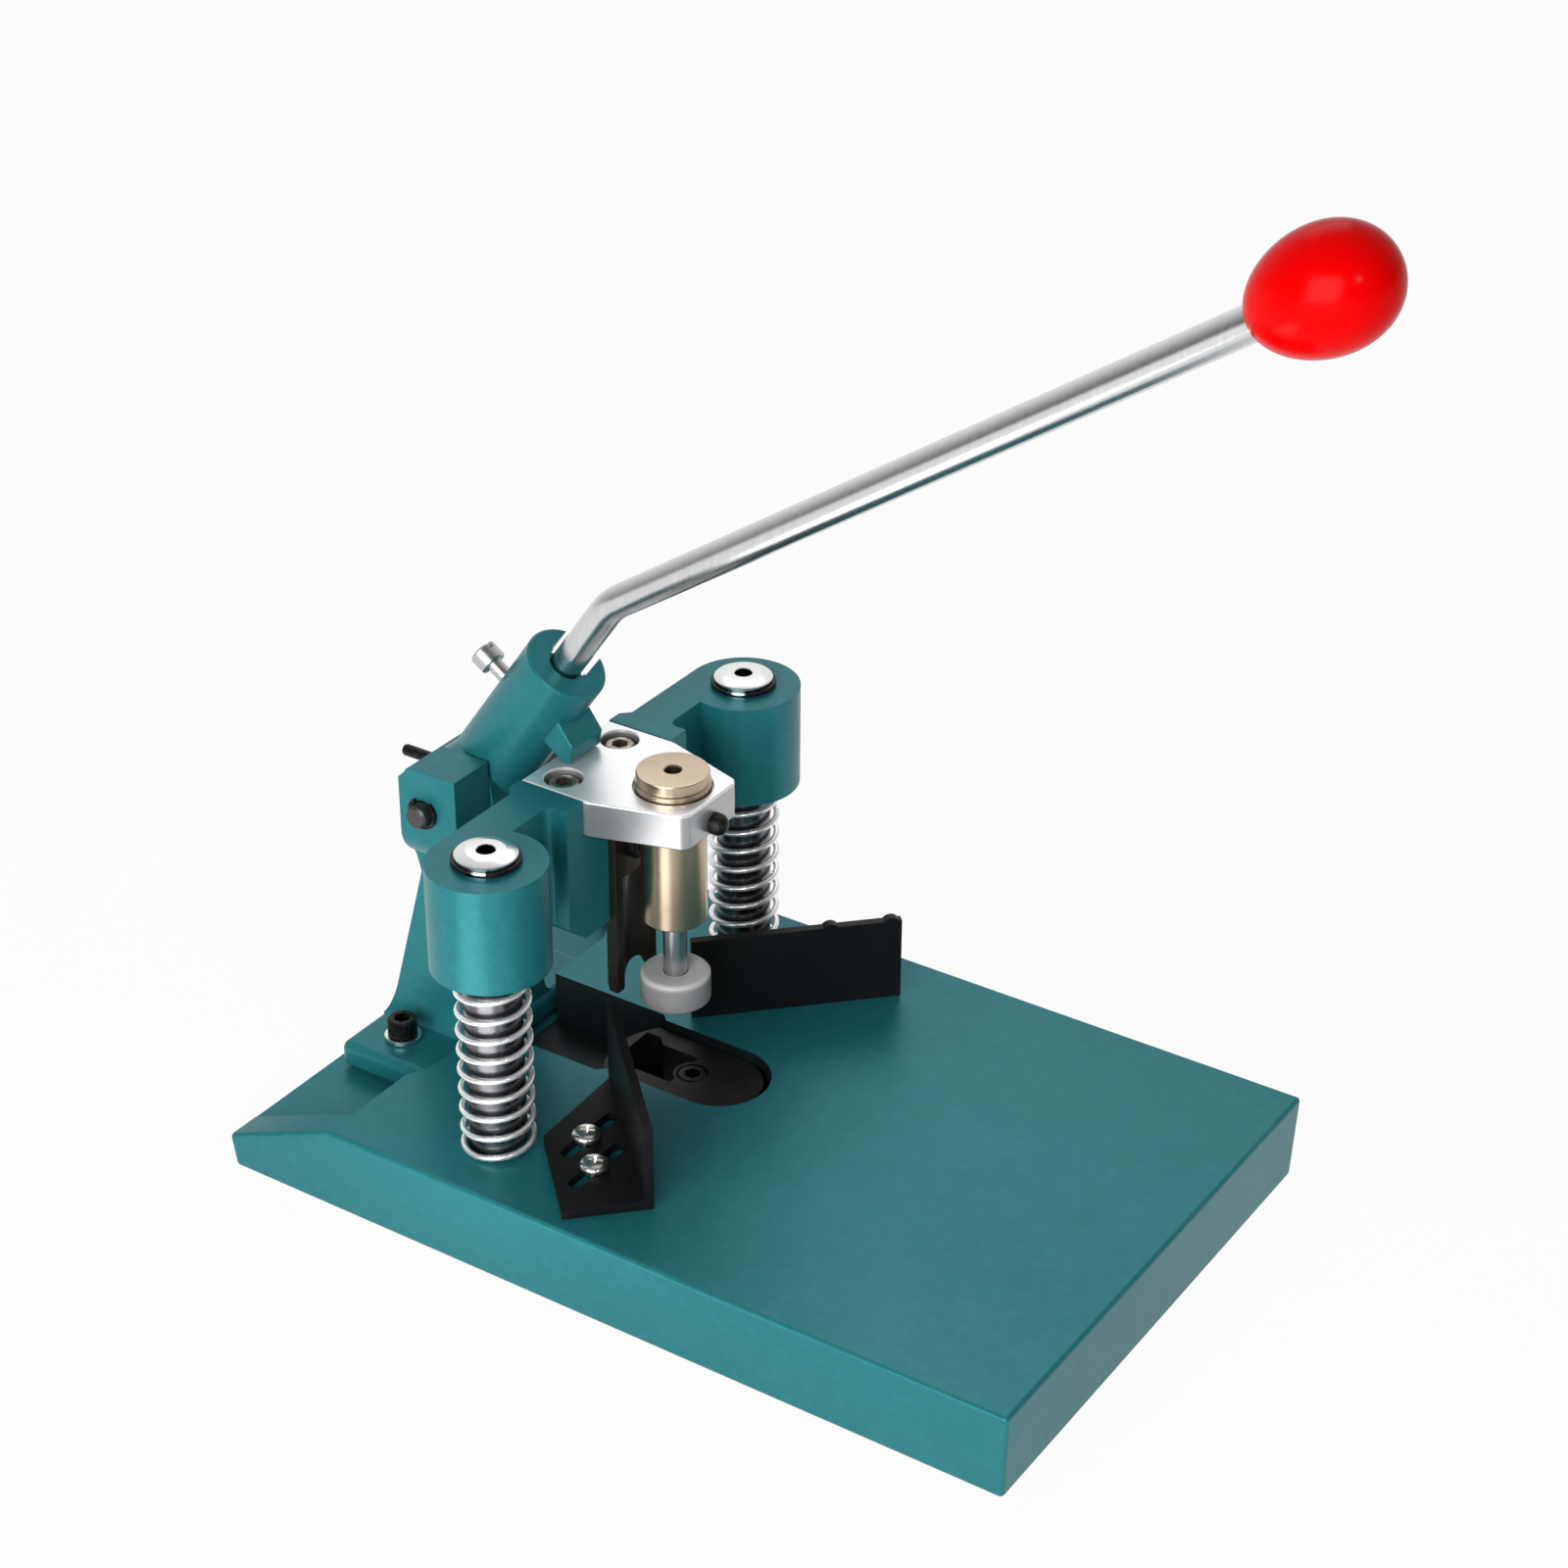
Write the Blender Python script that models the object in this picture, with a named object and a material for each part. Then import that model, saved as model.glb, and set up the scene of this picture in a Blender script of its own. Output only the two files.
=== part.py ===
"""Desk corner rounder for paper.

A long lever turns in a yoke behind the table. The nose under its socket
presses a sprung crosshead down two guide posts. The crosshead carries a
grooved knife and a spring loaded presser foot, and two angle fences on the
table hold the sheet's corner under them.

Metres, +Z up, +X to the user's right, the user at -Y. The origin is the
centre of the base's underside, and the part stands on z = 0.
"""
from math import acos, asin, atan2, cos, degrees, hypot, pi, radians, sin, sqrt, tan

import bmesh
import bpy
from mathutils import Matrix, Vector

# Shared clearances and overruns
SEAT_GAP = 0.0003
OVERRUN = 0.002
ROUND_SIDES = 32
SMALL_SIDES = 20

# Base casting
BASE_WIDTH = 0.190
BASE_LENGTH = 0.292
BASE_HEIGHT = 0.0305
BASE_DRAFT = 0.0010
BASE_EDGE_ROUND = 0.0014
BASE_WALL = 0.0070
BASE_DECK = 0.0080
BASE_RIB = 0.0100
REAR_SLOPE_LENGTH = 0.043
REAR_EDGE_HEIGHT = 0.0125
REAR_RIM_WIDTH = 0.0120
SEAT_STEP_DOWN = 0.0006
RECESS_TONGUE = 0.0040
RECESS_TONGUE_SLOPE = 0.0080

# Slot that runs back through the table from the die pocket
SLOT_HALF_WIDTH = 0.0170
SLOT_REAR_HALF_WIDTH = 0.0195
SLOT_WIDE_FROM = 0.0012
SLOT_FRONT_REACH = 0.0540
SLOT_FLOOR = 0.0120

# Guide posts
POST_SPACING = 0.138
POST_TO_REAR = 0.092
POST_RADIUS = 0.0092
POST_HEAD_RADIUS = 0.0098
POST_HEAD_HEIGHT = 0.0022
POST_CENTRE_HOLE = 0.0028
POST_CENTRE_DEPTH = 0.0050
POST_GROOVE_DEPTH = 0.0007
POST_SEAT_DEPTH = 0.0220
POST_EDGE = 0.0008
POST_BOSS_RADIUS = 0.0150
POST_SCREW_BITE = 0.0120
RING_THICKNESS = 0.0014
RING_WIDTH = 0.0021
RING_GAP_ANGLE = 34.0
RING_GAP_TOWARDS = 200.0

# Crosshead casting
CROSSHEAD_TOP = 0.134
BUSHING_RADIUS = 0.0190
BUSHING_LENGTH = 0.0360
RUNNING_GAP = 0.00032
ARM_FRONT = 0.0045
ARM_FILLET = 0.0035
BOSS_HALF_WIDTH = 0.0323
BOSS_FRONT = 0.0025
BOSS_REAR = 0.0220
BOSS_BOTTOM = 0.0840
BOSS_FLAT_HALF_WIDTH = 0.0240
BOSS_FLARE_HEIGHT = 0.0070
ARM_ROOT_HEIGHT = 0.1050

# Aluminium plate let into the crosshead
PLATE_THICKNESS = 0.0125
PLATE_HALF_WIDTH = 0.0235
PLATE_REAR = 0.0217
PLATE_SHOULDER = 0.0040
PLATE_NOSE = 0.0350
PLATE_NOSE_HALF_WIDTH = 0.0140
PLATE_CORNER = 0.0018
PLATE_SCREW_SPACING = 0.0300
PLATE_SCREW_BACK = 0.0114
PLATE_COUNTERBORE_GAP = 0.0013
PLATE_SCREW_SINK = 0.0012

# Presser: sleeve, rod, spring and foot
PRESSER_FORWARD = 0.0200
SLEEVE_RADIUS = 0.0106
SLEEVE_BOTTOM = 0.0860
SLEEVE_FLANGE_RADIUS = 0.0122
SLEEVE_FLANGE_HEIGHT = 0.0034
SLEEVE_CAP_RADIUS = 0.0117
SLEEVE_CAP_HEIGHT = 0.0036
SLEEVE_CAP_EDGE = 0.0003
SLEEVE_CAP_HOLE = 0.0027
SLEEVE_SINK = 0.0012
SLEEVE_SINK_GAP = 0.0007
SLEEVE_CHAMBER_RADIUS = 0.0078
SLEEVE_FLOOR = 0.0060
SLEEVE_ROOF = 0.0030
ROD_RADIUS = 0.0039
ROD_ABOVE_COLLAR = 0.0110
ROD_COLLAR_RADIUS = 0.0072
ROD_COLLAR_HEIGHT = 0.0030
FOOT_RADIUS = 0.0115
FOOT_HEIGHT = 0.0108
FOOT_BOTTOM = 0.0552
FOOT_EDGE = 0.0012
FOOT_GRIP = 0.0060
PRESSER_SPRING_WIRE = 0.0012
PRESSER_SPRING_RADIUS = 0.0060
PRESSER_SPRING_TURNS = 8

# Knife
BLADE_HALF_WIDTH = 0.0108
BLADE_THICKNESS = 0.0042
BLADE_TIP = 0.0565
BLADE_TOP_GAP = 0.0004
BLADE_ARC_RADIUS = 0.0127
BLADE_ARC_DEPTH = 0.0022
BLADE_GROOVE_HEIGHT = 0.0420
BLADE_SCOOP_RADIUS = 0.0080
BLADE_SCOOP_OFFSET = 0.0006
BLADE_BEVEL = 0.0016
BLADE_SCREW_HEIGHT = 0.1080
BLADE_SEAT_DEPTH = 0.0022
BLADE_SCREW_HEAD_RADIUS = 0.0045
BLADE_SCREW_HEAD_HEIGHT = 0.0022
BLADE_SCREW_BITE = 0.0120

# Die in the slot
DIE_SINK = 0.0030
DIE_SIDE_GAP = 0.0012
DIE_FRONT_GAP = 0.0030
DIE_REAR_REACH = 0.0042
DIE_REAR_RADIUS = 0.0240
DIE_OPENING_GAP = 0.0006
DIE_BEAN_HALF_WIDTH = 0.0082
DIE_BEAN_FRONT = 0.0230
DIE_SCREW_FORWARD = 0.0262
DIE_BOSS_RADIUS = 0.0064
WASTE_HALF_WIDTH = 0.0078
WASTE_FRONT = 0.0165

# Angle fences
FENCE_ANGLE = 45.0
FENCE_LENGTH = 0.0715
FENCE_HEIGHT = 0.0298
FENCE_WALL = 0.0030
FENCE_FLANGE = 0.0030
FENCE_FLANGE_WIDTH = 0.0286
FENCE_FLANGE_BACK_RUN = 0.0313
FENCE_END_STEP = 0.0001
FENCE_BACK_X = 0.0198
FENCE_BACK_FORWARD = 0.0104
FENCE_RIGHT_SET = 0.0030
FENCE_SLOT_INWARD = 0.0130
FENCE_SLOT_OUTWARD = 0.0097
FENCE_SLOT_HALF_WIDTH = 0.0024
FENCE_SCREW_SHARES = (0.483, 0.711)
FENCE_SCREW_INSET = 0.0153
FENCE_BUMP_SHARES = (0.66, 0.95)
FENCE_BUMP_RADIUS = 0.0032
FENCE_BUMP_SINK = 0.0019

# Rear bracket
FOOT_HALF_WIDTH = 0.0440
FOOT_DEPTH = 0.0410
FOOT_BACK = 0.0875
FOOT_THICKNESS = 0.0100
FOOT_ROUND = 0.0040
COLUMN_HALF_WIDTH = 0.0170
COLUMN_FLARE = 0.0045
COLUMN_FLARE_HEIGHT = 0.0110
COLUMN_FLARE_SHARES = (0.0, 0.35, 0.7, 1.0)
COLUMN_REAR = 0.0865
COLUMN_FRONT = 0.0480
EAR_HALF_WIDTH = 0.0320
EAR_GAP_HALF = 0.0146
EAR_FRONT = 0.0420
EAR_BACK = 0.0650
EAR_TOP = 0.1300
EAR_BOTTOM = 0.1060
EAR_SHOULDER = 0.0130
EAR_CHAMFER = 0.0045
EAR_BEVEL_SHARE = 0.55
YOKE_FLOOR = 0.1010
YOKE_BACK = 0.0695
BRIDGE_BACK = 0.0750
BRIDGE_TOP = 0.1180
BRIDGE_BOTTOM = 0.0920
WAIST_BACK = 0.0703
WAIST_HEIGHT = 0.0810
EAR_THROAT_SHARES = (0.35, 0.55)
EAR_HEEL = 0.0020
EAR_HEEL_HEIGHT = 0.0060
BRACKET_BOLT_SPACING = 0.0610
BRACKET_BOLT_BACK = 0.0710

# Lever pivot and socket, measured along the socket's axis
PIVOT_BACK = 0.0550
PIVOT_HEIGHT = 0.1155
PIN_RADIUS = 0.0040
PIN_STICKOUT = 0.0048
CLIP_RADIUS = 0.0055
CLIP_THICKNESS = 0.0012
CLIP_OPENING_ANGLE = 70.0
CLIP_OPENING_TOWARDS = 180.0
SOCKET_ANGLE = 55.0
SOCKET_RADIUS = 0.0137
SOCKET_REACH = 0.0610
HUB_RADIUS = 0.0140
HUB_SIDE_GAP = 0.0004
MOUTH_SLOT_HALF_WIDTH = 0.0068
MOUTH_SLOT_DEPTH = 0.0120
MOUTH_SLOT_START = 0.0010
MOUTH_SLOT_TURN = 12.0
MOUTH_BORE_RADIUS = 0.0062
NOSE_RADIUS = 0.0026
NOSE_BACK = 0.0160
NOSE_HALF_WIDTH = 0.0080
LUG_LENGTH = 0.0048
LUG_CORNER = 0.0021
LUG_RISE = 0.0046

# Handle
HANDLE_RADIUS = 0.00525
HANDLE_BORE_END = 0.0165
HANDLE_BEND_REACH = 0.0920
HANDLE_BEND_RADIUS = 0.0250
HANDLE_RISE = 33.7
HANDLE_LENGTH = 0.2706
HANDLE_BEND_STEPS = 8
KNOB_LENGTH = 0.0450
KNOB_RADIUS = 0.01725
KNOB_FULLNESS_SHARE = 0.10
KNOB_RING_ANGLES = (3, 8, 14, 22, 31, 41, 52, 63, 74, 85, 96, 107, 118, 129, 140, 150, 159)
KNOB_GRIP = 0.0180
LOCK_SCREW_REACH = 0.0370
LOCK_SCREW_STICKOUT = 0.0115
LOCK_SCREW_RADIUS = 0.0026
LOCK_HEAD_RADIUS = 0.0046
LOCK_HEAD_HEIGHT = 0.0062
LOCK_SLOT_WIDTH = 0.0018
LOCK_SLOT_DEPTH = 0.0024
STOP_SCREW_RADIUS = 0.0020
STOP_SCREW_HEIGHT = 0.1135
STOP_SCREW_REACH = 0.0340

# Return springs on the posts
SPRING_WIRE = 0.0020
SPRING_RADIUS = 0.0112
SPRING_TURNS = 9
SPRING_POINTS_PER_TURN = 10

# Socket head screws: head radius, head height, shank radius, hexagon across corners
M6_HEAD_RADIUS = 0.0050
M6_HEAD_HEIGHT = 0.0060
M6_SHANK_RADIUS = 0.0030
M6_HEXAGON = 0.0029
M6_WASHER_RADIUS = 0.0062
M6_WASHER_THICKNESS = 0.0016
M5_SHANK_RADIUS = 0.0025
M4_HEAD_RADIUS = 0.0036
M4_HEAD_HEIGHT = 0.0040
M4_SHANK_RADIUS = 0.0020
M4_HEXAGON = 0.0017
HEXAGON_DEPTH_SHARE = 0.55
HEAD_EDGE_SHARE = 0.12
PAN_HEAD_RADIUS = 0.0048
PAN_HEAD_HEIGHT = 0.0026
PAN_HEAD_SHARES = ((1.0, 0.45), (0.82, 0.82), (0.45, 1.0), (0.0, 1.0))
PAN_SHANK_RADIUS = 0.0020
PAN_SHANK_BITE = 0.0055
BOLT_BITE = 0.0080
PLATE_SCREW_BITE = 0.0120
CLAMP_STICKOUT = 0.0055
CLAMP_HEIGHT = 0.0040


# Materials
def material(name, colour, metallic, roughness):
    mat = bpy.data.materials.new(name)
    mat.use_nodes = True
    shader = mat.node_tree.nodes["Principled BSDF"]
    shader.inputs["Base Color"].default_value = (*colour, 1.0)
    shader.inputs["Metallic"].default_value = metallic
    shader.inputs["Roughness"].default_value = roughness
    mat.diffuse_color = (*colour, 1.0)
    return mat


PAINT = (0.055, 0.195, 0.215)
STEEL = (0.62, 0.62, 0.64)
CHROME = (0.80, 0.80, 0.82)
BLACK_OXIDE = (0.016, 0.016, 0.018)
KNIFE_BROWN = (0.030, 0.024, 0.020)
FENCE_BLACK = (0.009, 0.009, 0.012)
ALUMINIUM = (0.74, 0.75, 0.77)
BRASS = (0.47, 0.37, 0.20)
FOOT_GREY = (0.42, 0.42, 0.43)
KNOB_RED = (0.80, 0.004, 0.004)
ZINC = (0.66, 0.65, 0.62)
DIE_DARK = (0.045, 0.045, 0.050)


# Mesh helpers
def clear_scene():
    for old in list(bpy.data.objects):
        bpy.data.objects.remove(old, do_unlink=True)


def place(name, bm, mat, parent=None, matrix=None, smooth=40.0):
    bmesh.ops.recalc_face_normals(bm, faces=bm.faces)
    mesh = bpy.data.meshes.new(name)
    bm.to_mesh(mesh)
    bm.free()
    mesh.materials.append(mat)
    mesh.shade_smooth()
    mesh.set_sharp_from_angle(angle=radians(smooth))
    obj = bpy.data.objects.new(name, mesh)
    bpy.context.scene.collection.objects.link(obj)
    if parent is not None:
        obj.parent = parent
        obj.matrix_parent_inverse = parent.matrix_world.inverted()
    if matrix is not None:
        obj.matrix_basis = matrix
    return obj


def tool(name, bm):
    """A cutter or an added lump: drawn as wire and left out of the render."""
    bmesh.ops.recalc_face_normals(bm, faces=bm.faces)
    mesh = bpy.data.meshes.new(name)
    bm.to_mesh(mesh)
    bm.free()
    obj = bpy.data.objects.new(name, mesh)
    bpy.context.scene.collection.objects.link(obj)
    obj.hide_render = True
    obj.display_type = "WIRE"
    return obj


def combine(target, helper, operation):
    mod = target.modifiers.new(operation.lower(), "BOOLEAN")
    mod.operation = operation
    mod.solver = "EXACT"
    mod.object = helper
    helper.parent = target


def cut(target, *helpers):
    for helper in helpers:
        combine(target, helper, "DIFFERENCE")


def join(target, *helpers):
    for helper in helpers:
        combine(target, helper, "UNION")


def round_edges(obj, width, segments=2, angle=50.0):
    mod = obj.modifiers.new("edges", "BEVEL")
    mod.width = width
    mod.segments = segments
    mod.limit_method = "ANGLE"
    mod.angle_limit = radians(angle)
    mod.harden_normals = False


def extrude(outline, low, high, plane="XY", bm=None):
    """A prism: outline points (u, v) in a plane, pulled from low to high."""
    bm = bm or bmesh.new()
    spots = {"XY": lambda u, v, w: (u, v, w),
             "XZ": lambda u, v, w: (u, w, v),
             "YZ": lambda u, v, w: (w, u, v)}[plane]
    ends = []
    for level in (low, high):
        ends.append([bm.verts.new(spots(u, v, level)) for u, v in outline])
    count = len(outline)
    bm.faces.new(ends[0])
    bm.faces.new(ends[1])
    for i in range(count):
        j = (i + 1) % count
        bm.faces.new((ends[0][i], ends[0][j], ends[1][j], ends[1][i]))
    return bm


def turn(profile, sides, matrix=None, bm=None):
    """A turned piece: profile points (radius, height). It ends in flat discs
    where the radius is zero, or is a closed ring where it never is."""
    bm = bm or bmesh.new()
    matrix = matrix or Matrix.Identity(4)
    capped = profile[0][0] <= 0.0
    rings = []
    for radius, height in profile[1:-1] if capped else profile:
        ring = []
        for k in range(sides):
            a = 2.0 * pi * (k + 0.5) / sides
            ring.append(bm.verts.new(matrix @ Vector((radius * cos(a), radius * sin(a), height))))
        rings.append(ring)
    pairs = list(zip(rings, rings[1:]))
    if capped:
        bm.faces.new(rings[0])
        bm.faces.new(rings[-1])
    else:
        pairs.append((rings[-1], rings[0]))
    for first, second in pairs:
        for k in range(sides):
            n = (k + 1) % sides
            bm.faces.new((first[k], first[n], second[n], second[k]))
    return bm


def rod_profile(radius, low, high, edge=0.0):
    if edge > 0.0:
        return [(0.0, low), (radius - edge, low), (radius, low + edge),
                (radius, high - edge), (radius - edge, high), (0.0, high)]
    return [(0.0, low), (radius, low), (radius, high), (0.0, high)]


def arc(centre_u, centre_v, radius, start, end, steps):
    """Points on an arc, angles in degrees."""
    points = []
    for i in range(steps + 1):
        a = radians(start + (end - start) * i / steps)
        points.append((centre_u + radius * cos(a), centre_v + radius * sin(a)))
    return points


def mirrored(points):
    """Adds the left half of an outline whose right half runs rear to front."""
    return points + [(-u, v) for u, v in reversed(points)]


def along(origin, direction, spin=0.0):
    """A matrix that turns +Z to a direction at an origin."""
    turn_to = Vector(direction).normalized().to_track_quat("Z", "Y").to_matrix().to_4x4()
    return Matrix.Translation(Vector(origin)) @ turn_to @ Matrix.Rotation(spin, 4, "Z")


def screw_shape(head_radius, head_height, shank_radius, shank_length, hexagon, matrix):
    """A socket head screw: the shank runs down -Z from the seat at z = 0."""
    edge = head_radius * HEAD_EDGE_SHARE
    depth = head_height * HEXAGON_DEPTH_SHARE
    sides = 24
    bm = bmesh.new()
    outer = []
    for radius, height in ((shank_radius, -shank_length), (shank_radius, 0.0),
                           (head_radius, 0.0), (head_radius, head_height - edge),
                           (head_radius - edge, head_height)):
        outer.append([bm.verts.new((radius * cos(2.0 * pi * k / sides),
                                    radius * sin(2.0 * pi * k / sides), height))
                      for k in range(sides)])
    inner = []
    for height in (head_height, head_height - depth):
        ring = []
        for k in range(sides):
            # each side of the hexagon carries four of the head's points
            corner, step = divmod(k, 4)
            a = pi * corner / 3.0
            b = pi * (corner + 1) / 3.0
            share = step / 4.0
            ring.append(bm.verts.new((hexagon * (cos(a) * (1.0 - share) + cos(b) * share),
                                      hexagon * (sin(a) * (1.0 - share) + sin(b) * share),
                                      height)))
        inner.append(ring)
    bm.faces.new(list(reversed(outer[0])))
    for first, second in zip(outer + inner, (outer + inner)[1:]):
        for k in range(sides):
            n = (k + 1) % sides
            bm.faces.new((first[k], first[n], second[n], second[k]))
    bm.faces.new(inner[1])
    bm.transform(matrix)
    return bm


def helix(name, mat, centre, radius, wire, low, high, turns, parent):
    """One unbroken coil between two seats, with ends that run square to them."""
    steps = turns * SPRING_POINTS_PER_TURN
    run = wire
    bottom = low + SEAT_GAP
    top = high - SEAT_GAP
    points = [(radius, 0.0, bottom)]
    rise = (top - run) - (bottom + run)
    for i in range(steps + 1):
        a = 2.0 * pi * i / SPRING_POINTS_PER_TURN
        points.append((radius * cos(a), radius * sin(a), bottom + run + rise * i / steps))
    last = 2.0 * pi * steps / SPRING_POINTS_PER_TURN
    points.append((radius * cos(last), radius * sin(last), top))
    gap = rise / turns - wire
    print(name, "least gap between turns", round(gap, 6))
    curve = bpy.data.curves.new(name, "CURVE")
    curve.dimensions = "3D"
    curve.bevel_depth = wire / 2.0
    curve.bevel_resolution = 1
    curve.use_fill_caps = True
    spline = curve.splines.new("POLY")
    spline.points.add(len(points) - 1)
    for spot, (x, y, z) in zip(spline.points, points):
        spot.co = (x, y, z, 1.0)
    curve.materials.append(mat)
    obj = bpy.data.objects.new(name, curve)
    bpy.context.scene.collection.objects.link(obj)
    obj.location = (centre[0], centre[1], 0.0)
    if parent is not None:
        bpy.context.view_layer.update()
        obj.parent = parent
        obj.matrix_parent_inverse = parent.matrix_world.inverted()
    return obj


def pivot_empty(name, location, parent=None):
    empty = bpy.data.objects.new(name, None)
    empty.location = location
    bpy.context.scene.collection.objects.link(empty)
    if parent is not None:
        empty.parent = parent
        empty.matrix_parent_inverse = parent.matrix_world.inverted()
    bpy.context.view_layer.update()
    return empty


# Places that several pieces share
POST_X = POST_SPACING / 2.0
TABLE = BASE_HEIGHT
SEAT_HEIGHT = REAR_EDGE_HEIGHT - SEAT_STEP_DOWN
FRONT_Y = -BASE_LENGTH / 2.0
REAR_Y = BASE_LENGTH / 2.0
POST_LINE_Y = REAR_Y - POST_TO_REAR
BOSS_FRONT_Y = POST_LINE_Y - BOSS_FRONT
BLADE_BACK_Y = BOSS_FRONT_Y + BLADE_SEAT_DEPTH - SEAT_GAP
BLADE_FRONT_Y = BLADE_BACK_Y - BLADE_THICKNESS
PRESSER_Y = POST_LINE_Y - PRESSER_FORWARD
PLATE_BOTTOM = CROSSHEAD_TOP - PLATE_THICKNESS
PLATE_NOSE_Y = POST_LINE_Y - PLATE_NOSE
FOOT_SEAT = SEAT_HEIGHT + SEAT_GAP
FOOT_TOP = FOOT_SEAT + FOOT_THICKNESS
PIVOT = Vector((0.0, POST_LINE_Y + PIVOT_BACK, PIVOT_HEIGHT))
SOCKET_DIR = Vector((0.0, -cos(radians(SOCKET_ANGLE)), sin(radians(SOCKET_ANGLE))))
SOCKET_FRONT = Vector((0.0, -sin(radians(SOCKET_ANGLE)), -cos(radians(SOCKET_ANGLE))))
BUSHING_BOTTOM = CROSSHEAD_TOP - BUSHING_LENGTH
DIE_SCREW_Y = POST_LINE_Y - DIE_SCREW_FORWARD


# Base casting with ribs, bosses, slot and bracket seat
def base_block():
    side = [(FRONT_Y, 0.0), (REAR_Y, 0.0), (REAR_Y, REAR_EDGE_HEIGHT),
            (REAR_Y - REAR_SLOPE_LENGTH, TABLE), (FRONT_Y, TABLE)]
    bm = extrude(side, -BASE_WIDTH / 2.0, BASE_WIDTH / 2.0, "YZ")
    for vert in bm.verts:
        if vert.co.z <= 0.0:
            vert.co.x -= BASE_DRAFT if vert.co.x > 0.0 else -BASE_DRAFT
            vert.co.y -= BASE_DRAFT if vert.co.y > 0.0 else -BASE_DRAFT
    return bm


def base_bays():
    """Four open bays under the deck, between the walls and the ribs."""
    outer = BASE_WIDTH / 2.0 - BASE_WALL
    spine = SLOT_REAR_HALF_WIDTH + BASE_WALL
    front = FRONT_Y + BASE_WALL
    seat_front = REAR_Y - REAR_SLOPE_LENGTH
    slot_front = POST_LINE_Y - SLOT_FRONT_REACH
    top = TABLE - BASE_DECK
    bm = bmesh.new()
    for inner, y_low, y_high in ((BASE_RIB / 2.0, front, slot_front - BASE_WALL),
                                 (spine, slot_front + BASE_RIB / 2.0,
                                  seat_front - RECESS_TONGUE - BASE_WALL)):
        for side in (-1.0, 1.0):
            ends = sorted((side * inner, side * outer))
            corners = [(ends[0], y_low), (ends[1], y_low), (ends[1], y_high), (ends[0], y_high)]
            extrude(corners, -OVERRUN, top, "XY", bm)
    return bm


def seat_recess():
    """The milled seat behind the table, narrower than the sloped side rims."""
    edge = BASE_WIDTH / 2.0 - REAR_RIM_WIDTH
    table_end = REAR_Y - REAR_SLOPE_LENGTH - SEAT_STEP_DOWN
    tongue = table_end - RECESS_TONGUE
    inner = FOOT_HALF_WIDTH + RECESS_TONGUE
    right = [(edge, REAR_Y + OVERRUN), (edge, table_end),
             (inner + RECESS_TONGUE_SLOPE, table_end), (inner, tongue)]
    return extrude(mirrored(right), SEAT_HEIGHT, TABLE + OVERRUN)


def slot_cut():
    centre = POST_LINE_Y - SLOT_FRONT_REACH + SLOT_HALF_WIDTH
    wide = POST_LINE_Y - SLOT_WIDE_FROM
    rear = REAR_Y - REAR_SLOPE_LENGTH
    right = [(SLOT_REAR_HALF_WIDTH, rear), (SLOT_REAR_HALF_WIDTH, wide),
             (SLOT_HALF_WIDTH, wide - (SLOT_REAR_HALF_WIDTH - SLOT_HALF_WIDTH))]
    right += arc(0.0, centre, SLOT_HALF_WIDTH, 0.0, -84.0, 9)
    return extrude(mirrored(right), SLOT_FLOOR, TABLE + OVERRUN)


def post_seat(side):
    floor = TABLE - POST_SEAT_DEPTH
    head = M6_HEAD_HEIGHT + SEAT_GAP
    hole = M6_SHANK_RADIUS + SEAT_GAP
    profile = [(0.0, TABLE + OVERRUN), (POST_RADIUS + SEAT_GAP, TABLE + OVERRUN),
               (POST_RADIUS + SEAT_GAP, floor), (hole, floor), (hole, head),
               (M6_HEAD_RADIUS + SEAT_GAP, head), (M6_HEAD_RADIUS + SEAT_GAP, -OVERRUN),
               (0.0, -OVERRUN)]
    return turn(profile, ROUND_SIDES, Matrix.Translation((side * POST_X, POST_LINE_Y, 0.0)))


def fence_screw_spots():
    """Left fence's screws: a share of the wall's length back to front."""
    slope = radians(FENCE_ANGLE)
    spots = []
    for share in FENCE_SCREW_SHARES:
        run = FENCE_LENGTH * share
        x = -FENCE_BACK_X - run * cos(slope) - FENCE_SCREW_INSET * sin(slope)
        y = POST_LINE_Y - FENCE_BACK_FORWARD - run * sin(slope) + FENCE_SCREW_INSET * cos(slope)
        spots.append((x, y))
    return spots


def base_holes():
    bm = bmesh.new()
    deck_under = TABLE - BASE_DECK
    for side in (-1.0, 1.0):
        spot = Matrix.Translation((side * BRACKET_BOLT_SPACING / 2.0, POST_LINE_Y + BRACKET_BOLT_BACK, 0.0))
        turn(rod_profile(M6_SHANK_RADIUS + SEAT_GAP, SEAT_HEIGHT - BOLT_BITE - SEAT_GAP,
                         SEAT_HEIGHT + OVERRUN), SMALL_SIDES, spot, bm)
        for x, y in fence_screw_spots():
            spot = Matrix.Translation((-side * x, y, 0.0))
            turn(rod_profile(PAN_SHANK_RADIUS + SEAT_GAP, deck_under - OVERRUN,
                             TABLE + OVERRUN), SMALL_SIDES, spot, bm)
    turn(rod_profile(M6_SHANK_RADIUS + SEAT_GAP, SLOT_FLOOR - BOLT_BITE, SLOT_FLOOR + OVERRUN),
         SMALL_SIDES, Matrix.Translation((0.0, DIE_SCREW_Y, 0.0)), bm)
    return bm


def waste_outline(grow=0.0):
    front = POST_LINE_Y - WASTE_FRONT - grow
    rear = BLADE_BACK_Y + DIE_OPENING_GAP + grow
    half = WASTE_HALF_WIDTH + grow
    right = [(half, rear), (half, front + half / 2.0), (half / 2.0, front)]
    return mirrored(right)


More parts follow.
